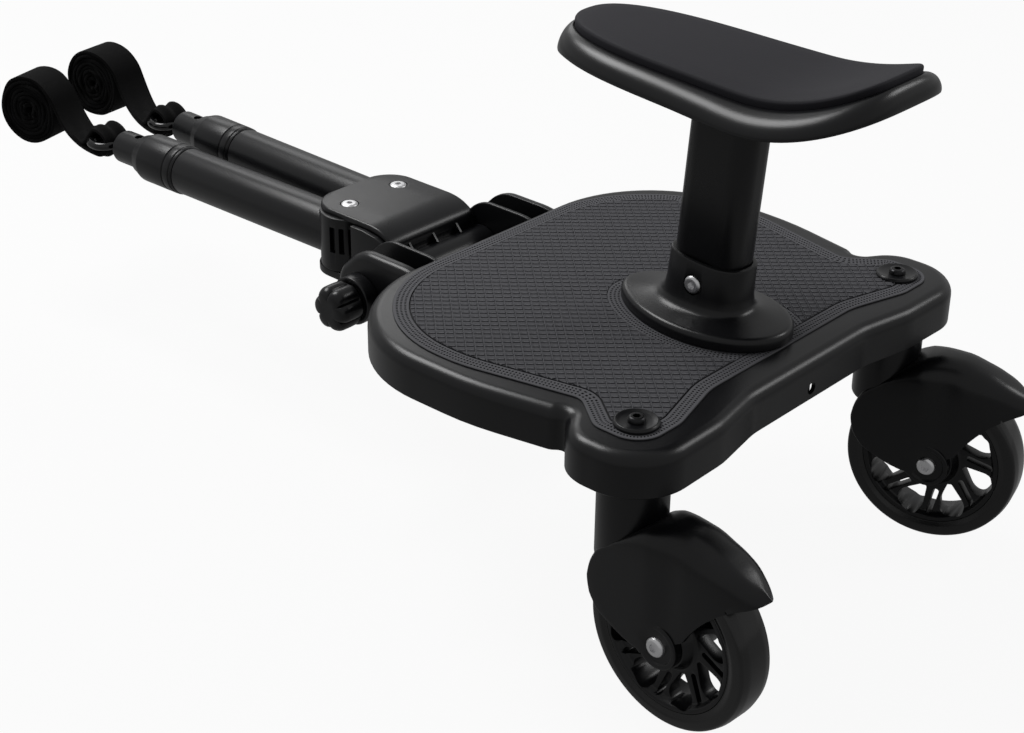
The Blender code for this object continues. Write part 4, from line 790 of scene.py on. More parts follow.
@dataclass
class TreadMat:
    """The anti-slip mat: a dotted border, a groove and a field of small ramped cells."""

    half_width: float = 0.1555
    front: float = 0.0738
    caster_x: float = 0.1375
    caster_y: float = -0.165
    lobe: float = 0.0185
    low: float = -0.0013
    sunk: float = -0.0009
    dash: float = 0.0012
    cell_x: float = 0.00392
    cell_y: float = 0.00426
    ridge: float = 0.00050
    far_gap: float = 0.30
    side_gap: float = 0.24
    pit: float = 0.0009
    tile_drop: float = 0.00020
    border: float = 0.0118

    def outline(self) -> list[Vector]:
        """Plan of the mat."""
        x, y, lobe = self.caster_x, self.caster_y, self.lobe
        return rounded(both_sides([
            (self.half_width, self.front, 0.095),
            (self.half_width, y + 0.125, 0.110),
            (x - 0.001, y + 0.043, 0.012),
            (x + lobe, y + 0.017, 0.014),
            (x + lobe, y - lobe, lobe),
            (x - lobe, y - lobe, 0.030),
            (x - 0.0625, y - 0.006, 0.050)]))

    def dotted(self, outline: Sequence[Vector], steps: Sequence[tuple[float, float]], rows: Sequence[int],
               looped: bool = False) -> Form:
        """Bands that follow an outline, some of them broken into small pits.

        Args:
            outline: The line that the bands follow.
            steps: (offset, height) of each loop.
            rows: The bands, by number, that are pitted.
            looped: Whether the last loop joins the first one.

        Returns:
            The closed skin.
        """
        count = 2 * round(girth(outline) / self.dash / 2)
        line = evenly(outline, count)
        made = Form()
        rings = made.loft([[(p.x, p.y, height) for p in grown(line, offset)] for offset, height in steps],
                          looped=looped)
        pits = []
        for row in rows:
            for index in range(row % 2, count, 2):
                corners = {rings[row][index], rings[row][(index + 1) % count],
                           rings[row + 1][index], rings[row + 1][(index + 1) % count]}
                pits += [f for f in rings[row][index].link_faces if set(f.verts) == corners]
        bmesh.ops.inset_individual(made.bm, faces=pits, thickness=0.00010, depth=-0.0008, use_even_offset=True)
        return made

    def edge_band(self) -> Form:
        """The mat's body with its rim, dotted border and groove."""
        steps = [(0.0, self.low), (0.0, -0.0004), (-0.0004, 0.0), (-0.0022, 0.0), (-0.0036, 0.0), (-0.0049, 0.0),
                 (-0.0063, 0.0), (-0.0076, 0.0), (-0.0090, 0.0), (-0.0106, 0.0), (-0.0109, self.sunk)]
        return self.dotted(self.outline(), steps, (3, 5, 7))

    def foot_band(self, flange: Sequence[Vector]) -> bpy.types.Object:
        """The dotted band round the seat's foot, ahead of the border."""
        steps = [(-0.002, self.low), (-0.002, 0.0), (0.0008, 0.0), (0.0021, 0.0), (0.0034, 0.0), (0.0047, 0.0),
                 (0.0060, 0.0), (0.0073, 0.0), (0.0088, 0.0), (0.0091, self.low)]
        band = self.dotted(flange, steps, (2, 4, 6), looped=True).piece("foot_band", smooth=20)
        plan = Form().prism(grown(self.outline(), -self.border + 0.0004), -0.01, 0.01).piece("band_plan")
        return carved(band, plan, operation="INTERSECT", smooth=20)

    def field(self, flange: Sequence[Vector]) -> bpy.types.Object:
        """The field of cells, cut to the border's inner line and round the foot's band."""
        made = Form()
        count = 96
        frame_of_cells = Matrix(((self.cell_x, self.cell_x, 0, 0), (self.cell_y, -self.cell_y, 0, 0),
                                 (0, 0, 1, 0), (0, 0, 0, 1)))
        bmesh.ops.create_grid(made.bm, x_segments=count, y_segments=count, size=count / 2, matrix=frame_of_cells)
        middle = Vector((0, -0.05, 0))
        outer = self.outline()
        reach = [v for v in made.bm.verts if abs(v.co.x) > self.half_width + 0.01 or v.co.y + middle.y > 0.085
                 or v.co.y + middle.y < -0.205]
        bmesh.ops.delete(made.bm, geom=reach, context="VERTS")
        cells = list(made.bm.faces)
        bmesh.ops.inset_individual(made.bm, faces=cells, thickness=self.ridge, depth=0.0, use_even_offset=True)
        bmesh.ops.inset_individual(made.bm, faces=cells, thickness=0.00012, depth=-self.pit, use_even_offset=True)
        bmesh.ops.inset_individual(made.bm, faces=cells, thickness=0.00010, depth=self.pit - self.tile_drop,
                                   use_even_offset=True)
        ahead, across = Vector((self.cell_x, self.cell_y, 0)), Vector((self.cell_x, -self.cell_y, 0))
        for cell in cells:
            centre = cell.calc_center_median()
            for vert in cell.verts:
                off = vert.co - centre
                shift = Vector()
                if off.dot(ahead) * across.length ** 2 > off.dot(across) * ahead.dot(across):
                    shift -= ahead * self.far_gap
                if off.dot(across) * ahead.length ** 2 < off.dot(ahead) * ahead.dot(across):
                    shift += across * self.side_gap
                vert.co += shift
        tops = list(made.bm.faces)
        below = bmesh.ops.extrude_face_region(made.bm, geom=tops)["geom"]
        for vert in [item for item in below if isinstance(item, bmesh.types.BMVert)]:
            vert.co.z = self.low + 0.0001
        made.turned(Matrix.Translation(middle))
        slab = made.piece("field_of_cells", smooth=20)
        plan = Form().prism(grown(outer, -self.border), -0.01, 0.01).piece("field_plan")
        carved(slab, plan, operation="INTERSECT", smooth=20)
        hole = Form().prism(grown(flange, 0.0092), -0.02, 0.02).piece("foot_plan")
        return carved(slab, hole, smooth=20)

    def build(self, wardrobe: Wardrobe, flange: Sequence[Vector]) -> None:
        """Make the mat round the seat's foot."""
        whole = self.edge_band()
        for part in (self.field(flange), self.foot_band(flange)):
            whole.bm.from_mesh(part.data)
            bpy.data.objects.remove(part)
        wardrobe.wear(whole.piece("tread_mat", smooth=20), Slot.MAT, "root", "anti_slip_mat")


@dataclass
class CasterMount:
    """The dished washer and its socket screw over one caster's pivot."""

    side: Side
    radius: float = 0.0139
    height: float = 0.0030

    def build(self, wardrobe: Wardrobe) -> None:
        """Make the washer and the screw."""
        spot = Matrix.Translation((self.side.value * 0.1375, -0.165, 0))
        r, h = self.radius, self.height
        dish = rounded([(0.0, h * 0.60), (0.0070, h * 0.60, 0.001), (r * 0.72, h * 0.72, 0.006), (r - 0.0012, h, 0.0007),
                        (r, h * 0.55, 0.0007), (r, 0.0001), (0.0, 0.0001)], math.radians(12), closed=False)
        washer = Form().lathe([tuple(p) for p in dish], 72).piece(f"pivot_washer_{self.side.label}", spot)
        wardrobe.wear(washer, Slot.PLASTIC, "root", f"caster_washer_{self.side.label}")
        head = SocketScrew(0.0056, 0.0034).form()
        lift = Matrix.Translation((0, 0, h * 0.60))
        screw = head.turned(lift).piece(f"pivot_screw_{self.side.label}", spot)
        wardrobe.wear(screw, Slot.BLACK_STEEL, "root", f"caster_pivot_screw_{self.side.label}")


# Seat

@dataclass
class SeatFoot:
    """Flange and collar of the seat in one moulding, with its cross bolt."""

    front: float = -0.045
    rear: float = -0.171
    wide: float = 0.0395
    height: float = 0.0095
    collar_x: float = 0.020
    collar_y: float = 0.029
    collar_top: float = 0.032
    seat_y: float = -0.111
    root: float = 0.014
    tilt: float = math.radians(4.2)
    bolt_z: float = 0.030
    count: int = 96

    def lean(self, point: Point) -> Vector:
        """A point of the leaning post's frame."""
        return Matrix.Rotation(self.tilt, 3, "X") @ Vector(point) + Vector((0, self.seat_y, self.root))

    def flange(self, inset: float, height: float) -> list[Vector]:
        """Egg-shaped ring of the flange."""
        middle = (self.front + self.rear) / 2
        half = (self.front - self.rear) / 2 - inset
        points = []
        for index in range(self.count):
            angle = math.tau * index / self.count
            along = math.sin(angle)
            wide = (self.wide - inset) * (1 - 0.13 * along - 0.05 * along * along)
            points.append(Vector((wide * math.cos(angle), middle + half * along, height)))
        return points

    def collar(self, grow: float, height: float) -> list[Vector]:
        """Oval ring of the collar."""
        points = []
        for index in range(self.count):
            angle = math.tau * index / self.count
            across = math.copysign(abs(math.cos(angle)) ** 0.8, math.cos(angle)) * (self.collar_x + grow)
            along = math.copysign(abs(math.sin(angle)) ** 0.8, math.sin(angle)) * (self.collar_y + grow)
            points.append(self.lean((across, along, height)))
        return points

    def outline(self) -> list[Vector]:
        """Plan of the flange."""
        return [Vector(p[:2]) for p in self.flange(0.0, 0.0)]

    def build(self, wardrobe: Wardrobe) -> None:
        """Make the foot, its bolt and the bolt's dark seat."""
        edge = self.flange(0.0040, self.height)
        root = self.collar(0.0010, 0.0050)
        sections = [self.flange(0.0010, 0.0002), self.flange(0.0, 0.0012), self.flange(0.0, self.height - 0.0042)]
        for step in range(1, 6):
            bend = math.pi / 2 * step / 5
            sections.append(self.flange(0.0040 * (1 - math.cos(bend)), self.height - 0.0042 * (1 - math.sin(bend))))
        for across, rise in ((0.20, 0.07), (0.40, 0.15), (0.58, 0.24), (0.72, 0.33), (0.82, 0.43), (0.89, 0.54),
                             (0.94, 0.66), (0.975, 0.82), (1.0, 1.0)):
            sections.append([p.lerp(q, across) for p, q in zip(edge, root)])
            for point, p, q in zip(sections[-1], edge, root):
                point.z = p.z + (q.z - p.z) * rise
        top = self.collar_top
        sections += [self.collar(0.0001, 0.0110), self.collar(-0.0004, top - 0.0012), self.collar(-0.0008, top - 0.0003),
                     self.collar(-0.0014, top), self.collar(-0.0030, top), self.collar(-0.0036, top - 0.0010),
                     self.collar(-0.0038, top - 0.0120)]
        foot = Form()
        foot.loft(sections)
        made = foot.piece("seat_foot")
        bolt_y = self.seat_y - math.tan(self.tilt) * (self.bolt_z - self.root)
        spot = Matrix.Translation((0, bolt_y, self.bolt_z))
        sinks = []
        for side in Side:
            low, high = sorted((side.value * (self.collar_x - 0.0024), side.value * (self.collar_x + 0.02)))
            profile = [(0, low), (0.0069, low), (0.0069, high), (0, high)]
            sinks.append(Form().lathe(profile, 40).turned(ALONG_X).piece("bolt_sink", spot))
        carved(made, *sinks)
        wardrobe.wear(made, Slot.PLASTIC, "root", "seat_base")
        head = SocketScrew(0.0064, 0.0036).form().turned(Matrix.Translation((0, 0, self.collar_x - 0.0022)))
        head.turned(ALONG_X).turned(Matrix.Rotation(math.pi, 4, "Z"))
        wardrobe.wear(head.piece("seat_cross_bolt", spot), Slot.SILVER, "root", "seat_base_bolt")


@dataclass
class SeatTube:
    """The oval tube that carries the saddle."""

    foot: SeatFoot
    half_x: float = 0.016
    half_y: float = 0.025
    corner: float = 0.0135
    top: float = 0.150

    def build(self, wardrobe: Wardrobe) -> None:
        """Make the tube."""
        corners = [(x * self.half_x, y * self.half_y, self.corner) for x, y in ((1, 1), (1, -1), (-1, -1), (-1, 1))]
        low = 0.0063 - self.foot.root
        matrix = Matrix.Translation((0, self.foot.seat_y, self.foot.root)) @ Matrix.Rotation(self.foot.tilt, 4, "X")
        made = Form().prism(rounded(corners), low, self.top, rim=0.0006, foot=0.0006, steps=2)
        wardrobe.wear(made.piece("seat_tube", matrix), Slot.PLASTIC, "root", "seat_post")


@dataclass
class Saddle:
    """The saddle shell with its rolled rim, and the foam pad let into it."""

    foot: SeatFoot
    centre: float = -0.1180
    half_length: float = 0.1242
    narrow: float = 0.0550
    wide: float = 0.0675
    pad_centre: float = -0.1190
    pad_half_length: float = 0.1168
    pad_narrow: float = 0.0432
    pad_wide: float = 0.0490
    low: float = 0.172
    low_y: float = -0.160
    drop: float = 0.0130
    recess: float = 0.0052
    crown: float = 0.0045
    count: int = 144

    def height(self, y: float) -> float:
        """Height of the pad's edge along the seat."""
        ahead = y - self.low_y
        if ahead > 0:
            return self.low + 0.042 * ahead * ahead / (ahead + 0.012)
        return self.low + 3.5 * ahead * ahead

    def plan(self, centre: float, half_length: float, narrow: float, wide: float) -> list[Vector]:
        """Plan of the saddle, wide and square behind, narrow and round in front."""
        points = []
        for index in range(self.count):
            angle = math.tau * index / self.count
            power = 2.5 if math.sin(angle) > 0 else 3.5
            along = math.copysign(abs(math.sin(angle)) ** (2 / power), math.sin(angle))
            across = math.copysign(abs(math.cos(angle)) ** (2 / power), math.cos(angle))
            y = centre + half_length * along
            half = narrow + (wide - narrow) * 0.5 * (1 - math.tanh((y + 0.143) / 0.045))
            points.append(Vector((half * across, y)))
        return points

    def ring(self, share: float, drop: float) -> list[Vector]:
        """Ring between the pad's edge (0) and the rim (1), lowered by drop."""
        pad = self.plan(self.pad_centre, self.pad_half_length, self.pad_narrow, self.pad_wide)
        rim = self.plan(self.centre, self.half_length, self.narrow, self.wide)
        points = []
        for inner, outer in zip(pad, rim):
            at = inner.lerp(outer, share)
            nose = max(0.0, (at.y + 0.025) / 0.038)
            droop = 0.007 * nose ** 2 * max(0.0, share)
            points.append(Vector((at.x, at.y, self.height(inner.y) - drop - droop)))
        return points

    def drawn_in(self, ring: Sequence[Vector], share: float, rise: float = 0.0) -> list[Vector]:
        """A ring drawn in towards the middle, following the saddle."""
        points = []
        for point in ring:
            y = self.pad_centre + (point.y - self.pad_centre) * share
            points.append(Vector((point.x * share, y, point.z - self.height(point.y) + self.height(y) + rise)))
        return points

    def shell(self) -> Form:
        """The shell, from the pad's bed over the rim to its underside, and the socket for the tube."""
        edge = self.ring(-0.02, self.recess)
        under = self.ring(-0.03, self.recess + 0.003)
        outside = curve_through([(-0.012, 0.0034), (0.04, 0.0030), (0.30, 0.0037), (0.58, 0.0056), (0.80, 0.0084),
                                 (0.945, 0.0118), (1.0, 0.0146), (0.985, 0.0162)], 4)
        inside = [(0.95, 0.0163), (0.90, 0.0143), (0.72, 0.0098), (0.45, 0.0086), (0.12, 0.0084)]
        sections = [self.drawn_in(edge, share) for share in (0.05, 0.35, 0.7)]
        sections += [edge] + [self.ring(*pair) for pair in outside + inside] + [under]
        sections += [self.drawn_in(under, share) for share in (0.7, 0.35, 0.05)]
        made = Form()
        made.loft(sections)
        corners = [(x * 0.0194, y * 0.0284, 0.0165) for x, y in ((1, 1), (1, -1), (-1, -1), (-1, 1))]
        matrix = Matrix.Translation((0, self.foot.seat_y, self.foot.root)) @ Matrix.Rotation(self.foot.tilt, 4, "X")
        made.take(Form().prism(rounded(corners), 0.136, 0.1530, foot=0.0008).turned(matrix))
        return made

    def pad(self) -> Form:
        """The pad: flat below, a soft rounded edge and a low crown."""
        def layer(inset: float, rise: float) -> list[Vector]:
            """One ring of the pad."""
            plan = self.plan(self.pad_centre, self.pad_half_length - inset, self.pad_narrow - inset,
                             self.pad_wide - inset)
            return [Vector((p.x, p.y, self.height(p.y) + rise)) for p in plan]

        clear = 0.0008
        foot = layer(clear + 0.0004, 0.0005 - self.recess)
        flank = curve_through([(clear + 0.0002, -0.0045), (clear, 0.0000), (clear + 0.0004, 0.0014),
                               (0.0024, 0.0026), (0.0060, 0.0033), (0.0120, 0.0040)], 3)
        top = layer(0.0125, 0.0040)
        sections = [self.drawn_in(foot, share) for share in (0.05, 0.4, 0.8)] + [foot]
        sections += [layer(*pair) for pair in flank]
        for share in (0.85, 0.7, 0.55, 0.4, 0.25, 0.12, 0.03):
            sections.append(self.drawn_in(top, share, self.crown * 0.2 * (1 - share ** 2)))
        made = Form()
        made.loft(sections)
        return made

    def build(self, wardrobe: Wardrobe) -> None:
        """Make the shell and the pad."""
        wardrobe.wear(self.shell().piece("saddle_shell"), Slot.PLASTIC, "root", "seat_shell")
        pad = self.pad().piece("saddle_pad", smooth=50)
        wardrobe.wear(pad, Slot.PAD, "root", "seat_pad")


# Front hinge

@dataclass
class ClampKnob:
    """A plain collar and a lobed knob at one end of the hinge bolt."""

    side: Side
    hinge: Point = (0.0, 0.129, -0.039)
    start: float = 0.0773
    collar: float = 0.0107
    collar_radius: float = 0.0175
    radius: float = 0.0162
    width: float = 0.0212
    lobes: int = 6
    dip: float = 0.0036

    def lobed(self, radius: float, share: float) -> list[Vector]:
        """Ring of the grip, its lobes fading where share is less than 1."""
        points = []
        for index in range(120):
            angle = math.tau * index / 120
            wave = abs(math.cos(self.lobes * angle / 2)) ** 0.55
            reach = radius - self.dip * share * (1 - wave)
            points.append(Vector((reach * math.cos(angle), reach * math.sin(angle))))
        return points

    def build(self, wardrobe: Wardrobe) -> None:
        """Make the collar and the knob."""
        side = self.side.label
        matrix = Matrix.Translation(self.hinge) @ (ALONG_X if self.side is Side.RIGHT
                                                   else Matrix.Rotation(math.pi, 4, "Z") @ ALONG_X)
        r, x0, x1 = self.collar_radius, self.start, self.start + self.collar
        profile = rounded([(0.0044, x0), (r, x0, 0.0005), (r, x1, 0.0012), (r - 0.0035, x1, 0.0004),
                           (r - 0.0040, x1 - 0.0008), (0.0044, x1 - 0.0008)], math.radians(15), closed=False)
        made = Form().lathe([tuple(p) for p in profile], 72).piece(f"knob_collar_{side}", matrix)
        wardrobe.wear(made, Slot.PLASTIC, "root", f"knob_washer_{side}")
        base = x1 + 0.0006
        levels = [(0.0005, 0.0138, 0.0), (0.0016, 0.0150, 0.4), (0.0034, self.radius, 1.0),
                  (0.0140, self.radius + 0.0002, 1.0), (0.0175, self.radius - 0.0006, 1.0),
                  (0.0198, self.radius - 0.0024, 0.9), (0.0208, self.radius - 0.0050, 0.7),
                  (self.width, self.radius - 0.0080, 0.35), (self.width, 0.0050, 0.0)]
        grip = Form()
        grip.loft([[(p.x, p.y, base + rise) for p in self.lobed(radius, share)]
                   for rise, radius, share in curve_through(levels, 3)])
        made = grip.piece(f"clamp_knob_{side}", matrix)
        wardrobe.wear(made, Slot.PLASTIC, f"knob_{side}", f"hinge_knob_{side}")


@dataclass
class Connector:
    """The top cover of the hinge block, its rear edge rolled down, and the two arm screws."""

    hinge: Point = (0.0, 0.129, -0.039)
    half: float = 0.042
    back: float = 0.006
    front: float = 0.092
    corner: float = 0.022
    top: float = 0.034
    thickness: float = 0.0035
    edge: float = 0.0022
    screw_x: float = 0.0247
    screw_y: float = 0.0667
    rib_pitch: float = 0.024

    def stations(self) -> list[tuple[float, float, float]]:
        """Stations of the cover as (y, half width, top)."""
        rows = []
        steps = 14
        for step in range(steps + 1):
            bend = math.pi / 2 * step / steps
            rows.append((self.back + 0.025 * (1 - math.cos(bend)), self.half,
                         self.top - 0.012 + 0.012 * math.sin(bend)))
        rows += [(y, self.half, self.top) for y in (0.045, 0.058)]
        arc = self.front - self.corner
        for step in range(steps + 1):
            bend = math.radians(80) * step / steps
            rows.append((arc + self.corner * math.sin(bend), self.half - self.corner * (1 - math.cos(bend)), self.top))
        last_half = rows[-1][1]
        for step in range(1, 4):
            bend = math.pi / 2 * step / 3
            rows.append((self.front - 0.0003 + 0.0012 * math.sin(bend) - 0.0009, last_half - 0.004 * step,
                         self.top - 0.0012 * (1 - math.cos(bend))))
        return rows

    def cover(self) -> Form:
        """The cover as a skin over its stations."""
        sections = []
        for y, half, top in self.stations():
            under = top - self.thickness
            flank = [(half, under), (half, top - self.edge)]
            for step in range(1, 5):
                bend = math.pi / 2 * step / 4
                flank.append((half - self.edge * (1 - math.cos(bend)), top - self.edge * (1 - math.sin(bend))))
            flank.append((half * 0.5, top))
            flank.append((0.0, top))
            whole = flank + [(-x, z) for x, z in reversed(flank[:-1])]
            sections.append([(x, y, z) for x, z in whole])
        made = Form()
        made.loft(sections)
        return made

    def block(self) -> Form:
        """The block under the cover: its body, floor and the barrel round the bolt."""
        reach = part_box("connector_body")[1][0]
        body = rounded([(0.0064, -0.0140, 0.003), (0.0440, -0.0180), (0.0440, 0.0296), (0.0312, 0.0296), (0.0192, 0.0281),
                        (0.0142, 0.0262), (0.0102, 0.0236), (0.0068, 0.0175)])
        made = Form().prism(body, -reach, reach, rim=0.0008, foot=0.0008, steps=3).turned(ALONG_X)
        floor = rounded(both_sides([(reach, self.front - 0.0003, self.corner), (reach, 0.010, 0.001)]))
        made.take(Form().prism(floor, -0.0180, -0.0120, rim=0.0008, foot=0.0008, steps=3))
        barrel = rounded([(0.0042, -reach), (0.0152, -reach, 0.0008), (0.0152, reach, 0.0008), (0.0042, reach)],
                         math.radians(20), closed=False)
        return made.take(Form().lathe([tuple(p) for p in barrel], 96).turned(ALONG_X))

    def build(self, wardrobe: Wardrobe) -> None:
        """Make the block, the cover and the screws."""
        matrix = Matrix.Translation(self.hinge)
        wardrobe.wear(self.block().piece("hinge_block", matrix), Slot.PLASTIC, "connector", "connector_body")
        made = self.cover().piece("hinge_cover", matrix)
        sinks = []
        for side in Side:
            spot = matrix @ Matrix.Translation((side.value * self.screw_x, self.screw_y, self.top))
            profile = [(0, -0.0016), (0.0070, -0.0016), (0.0070, 0.01), (0, 0.01)]
            sinks.append(Form().lathe(profile, 40).piece("head_sink", spot))
        carved(made, *sinks)
        whole = Form()
        whole.bm.from_mesh(made.data)
        bpy.data.objects.remove(made)
        web = [Vector(p) for p in ((0.0150, 0.0290), (0.0058, 0.0215), (0.0010, 0.0160), (0.0040, 0.0100),
                                   (0.0150, 0.0100))]
        for place in (-self.rib_pitch, 0.0, self.rib_pitch):
            whole.take(Form().prism(web, place - 0.0008, place + 0.0008).turned(ALONG_X).turned(matrix))
        made = whole.piece("hinge_cover")
        wardrobe.wear(made, Slot.PLASTIC, "connector", "connector_cover")
        for side in Side:
            spot = matrix @ Matrix.Translation((side.value * self.screw_x, self.screw_y, self.top - 0.0014))
            head = SocketScrew(0.0066, 0.0022, 0.36).form().piece(f"arm_screw_{side.label}", spot)
            wardrobe.wear(head, Slot.SILVER, "connector", f"arm_pivot_screw_{side.label}")


# Arms

@dataclass
class Arm:
    """One telescopic arm: tube with its slotted root, lock collar, sliding rod and swivel eye."""

    side: Side
    splay: float = math.radians(1.3)
    root_radius: float = 0.022
    radius: float = 0.0185
    length: float = 0.1800
    collar: float = 0.052
    collar_radius: float = 0.0195
    rod_radius: float = 0.0132
    rod_shown: float = 0.0277
    eye_bar: float = 0.0034
    eye_half_x: float = 0.0155
    eye_half_y: float = 0.0105
    eye_reach: float = 0.0190

    @property
    def matrix(self) -> Matrix:
        """From the arm's frame, along local Y, to the object's."""
        return (Matrix.Translation((self.side.value * 0.0247, 0.1957, -0.030))
                @ Matrix.Rotation(-self.side.value * self.splay, 4, "Z"))

    @property
    def tip(self) -> float:
        """Where the rod ends, along the arm."""
        return self.length + 0.0003 + self.collar + self.rod_shown

    def tube(self) -> bpy.types.Object:
        """The tube and its root, with three slots in the root's outer side."""
        r = self.root_radius
        barrel = rounded([(0, -0.0207), (r, -0.0207, 0.0010), (r, 0.0212, 0.0010), (0, 0.0212)], math.radians(20),
                         closed=False)
        root = Form().lathe([tuple(p) for p in barrel], 96).piece(f"arm_{self.side.label}")
        slots = []
        for y, wide in ((-0.0035, 0.0046), (-0.0105, 0.0036), (-0.0160, 0.0026)):
            out = self.side.value * math.sqrt(r ** 2 - y ** 2)
            low, high = sorted((out - self.side.value * 0.0040, out + self.side.value * 0.004))
            slots.append(Form().block((low, y - wide / 2, -0.006), (high, y + wide / 2, 0.014), 0.0006).piece("slot"))
        carved(root, *slots)
        softened(root, 0.0003)
        whole = Form()
        whole.bm.from_mesh(root.data)
        bpy.data.objects.remove(root)
        pipe = rounded([(0, 0.0), (self.radius, 0.0), (self.radius, self.length, 0.0006), (0.0162, self.length, 0.0003),
                        (0.0162, self.length + 0.030), (0, self.length + 0.030)], math.radians(20), closed=False)
        whole.take(Form().lathe([tuple(p) for p in pipe], 96).turned(ALONG_Y))
        return whole.piece(f"arm_{self.side.label}", self.matrix)

    def lock_collar(self) -> Form:
        """The twist collar: two ring grooves and a chamfered mouth."""
        start, r = self.length + 0.0003, self.collar_radius
        end = start + self.collar
        deep = 0.0010
        line = [(r - 0.0008, start, 0.0003)]
        for groove in (0.0030, 0.0108):
            line += [(r, start + groove - 0.0009, 0.0004), (r - deep, start + groove - 0.0003, 0.0002),
                     (r - deep, start + groove + 0.0003, 0.0002), (r, start + groove + 0.0009, 0.0004)]
        line += [(r, end - 0.0105, 0.006), (r - 0.0034, end - 0.0012, 0.0014), (self.rod_radius + 0.0030, end, 0.0008),
                 (self.rod_radius + 0.0005, end, 0.0003), (self.rod_radius + 0.0005, end - 0.0090),
                 (0.0164, end - 0.0090), (0.0164, start, 0.0003)]
        return Form().lathe([tuple(p) for p in rounded(line, math.radians(20))], 96).turned(ALONG_Y)

    def rod(self) -> bpy.types.Object:
        """The sliding rod with the hole for its pin."""
        line = rounded([(0, self.tip - 0.160), (self.rod_radius, self.tip - 0.160), (self.rod_radius, self.tip, 0.0022),
                        (0, self.tip)], math.radians(15), closed=False)
        made = Form().lathe([tuple(p) for p in line], 72).turned(ALONG_Y).piece(f"sliding_rod_{self.side.label}")
        hole = Form().lathe([(0, 0.0035), (0.0034, 0.0035), (0.0034, 0.03), (0, 0.03)], 32)
        carved(made, hole.turned(Matrix.Translation((0, self.tip - 0.020, 0))).piece("pin_hole"))
        made.data.transform(self.matrix)
        return made

    def eye(self) -> Form:
        """The swivel eye: a round bar bent to a ring, with its stem."""
        a, b = self.eye_half_x, self.eye_half_y
        path = rounded([(a, b, 0.0085), (a, -b, 0.0095), (-a, -b, 0.0095), (-a, b, 0.0085)], math.radians(10))
        path = evenly(path, 64)
        sections = []
        for index, point in enumerate(path):
            along = (path[(index + 1) % 64] - path[index - 1]).normalized()
            out = Vector((along.y, -along.x, 0))
            sections.append([
                Vector((point.x, point.y + self.eye_reach, 0)) + out * self.eye_bar * math.cos(math.tau * k / 16)
                + Vector((0, 0, self.eye_bar * math.sin(math.tau * k / 16))) for k in range(16)])
        ring = Form()
        ring.loft(sections, looped=True)
        line = rounded([(0, -0.011), (0.0038, -0.011), (0.0038, 0.0003), (0.0074, 0.0003, 0.0005),
                        (0.0070, 0.0034, 0.0008), (0.0046, 0.0042, 0.0010), (0.0042, self.eye_reach - b + 0.001),
                        (0, self.eye_reach - b + 0.001)], math.radians(15), closed=False)
        ring.take(Form().lathe([tuple(p) for p in line], 40).turned(ALONG_Y))
        return ring.turned(Matrix.Translation((0, self.tip, 0)))

    def build(self, wardrobe: Wardrobe) -> None:
        """Make the arm's pieces."""
        side = self.side.label
        wardrobe.wear(self.tube(), Slot.PLASTIC, f"arm_{side}", f"arm_tube_{side}")
        made = self.lock_collar().piece(f"twist_collar_{side}", self.matrix)
        wardrobe.wear(made, Slot.PLASTIC, f"collar_{side}", f"lock_collar_{side}")
        wardrobe.wear(self.rod(), Slot.PLASTIC, f"rod_{side}", f"inner_rod_{side}")
        pin = Form().lathe([(0, 0.0036), (0.0031, 0.0036), (0.0031, 0.0082), (0, 0.0082)], 32)
        pin = pin.turned(Matrix.Translation((0, self.tip - 0.020, 0))).piece(f"stop_pin_{side}", self.matrix)
        wardrobe.wear(pin, Slot.BLACK_STEEL, f"rod_{side}", f"rod_pin_{side}")
        made = self.eye().piece(f"swivel_eye_{side}", self.matrix)
        wardrobe.wear(made, Slot.GLOSS, f"eye_{side}", f"strap_eye_{side}")


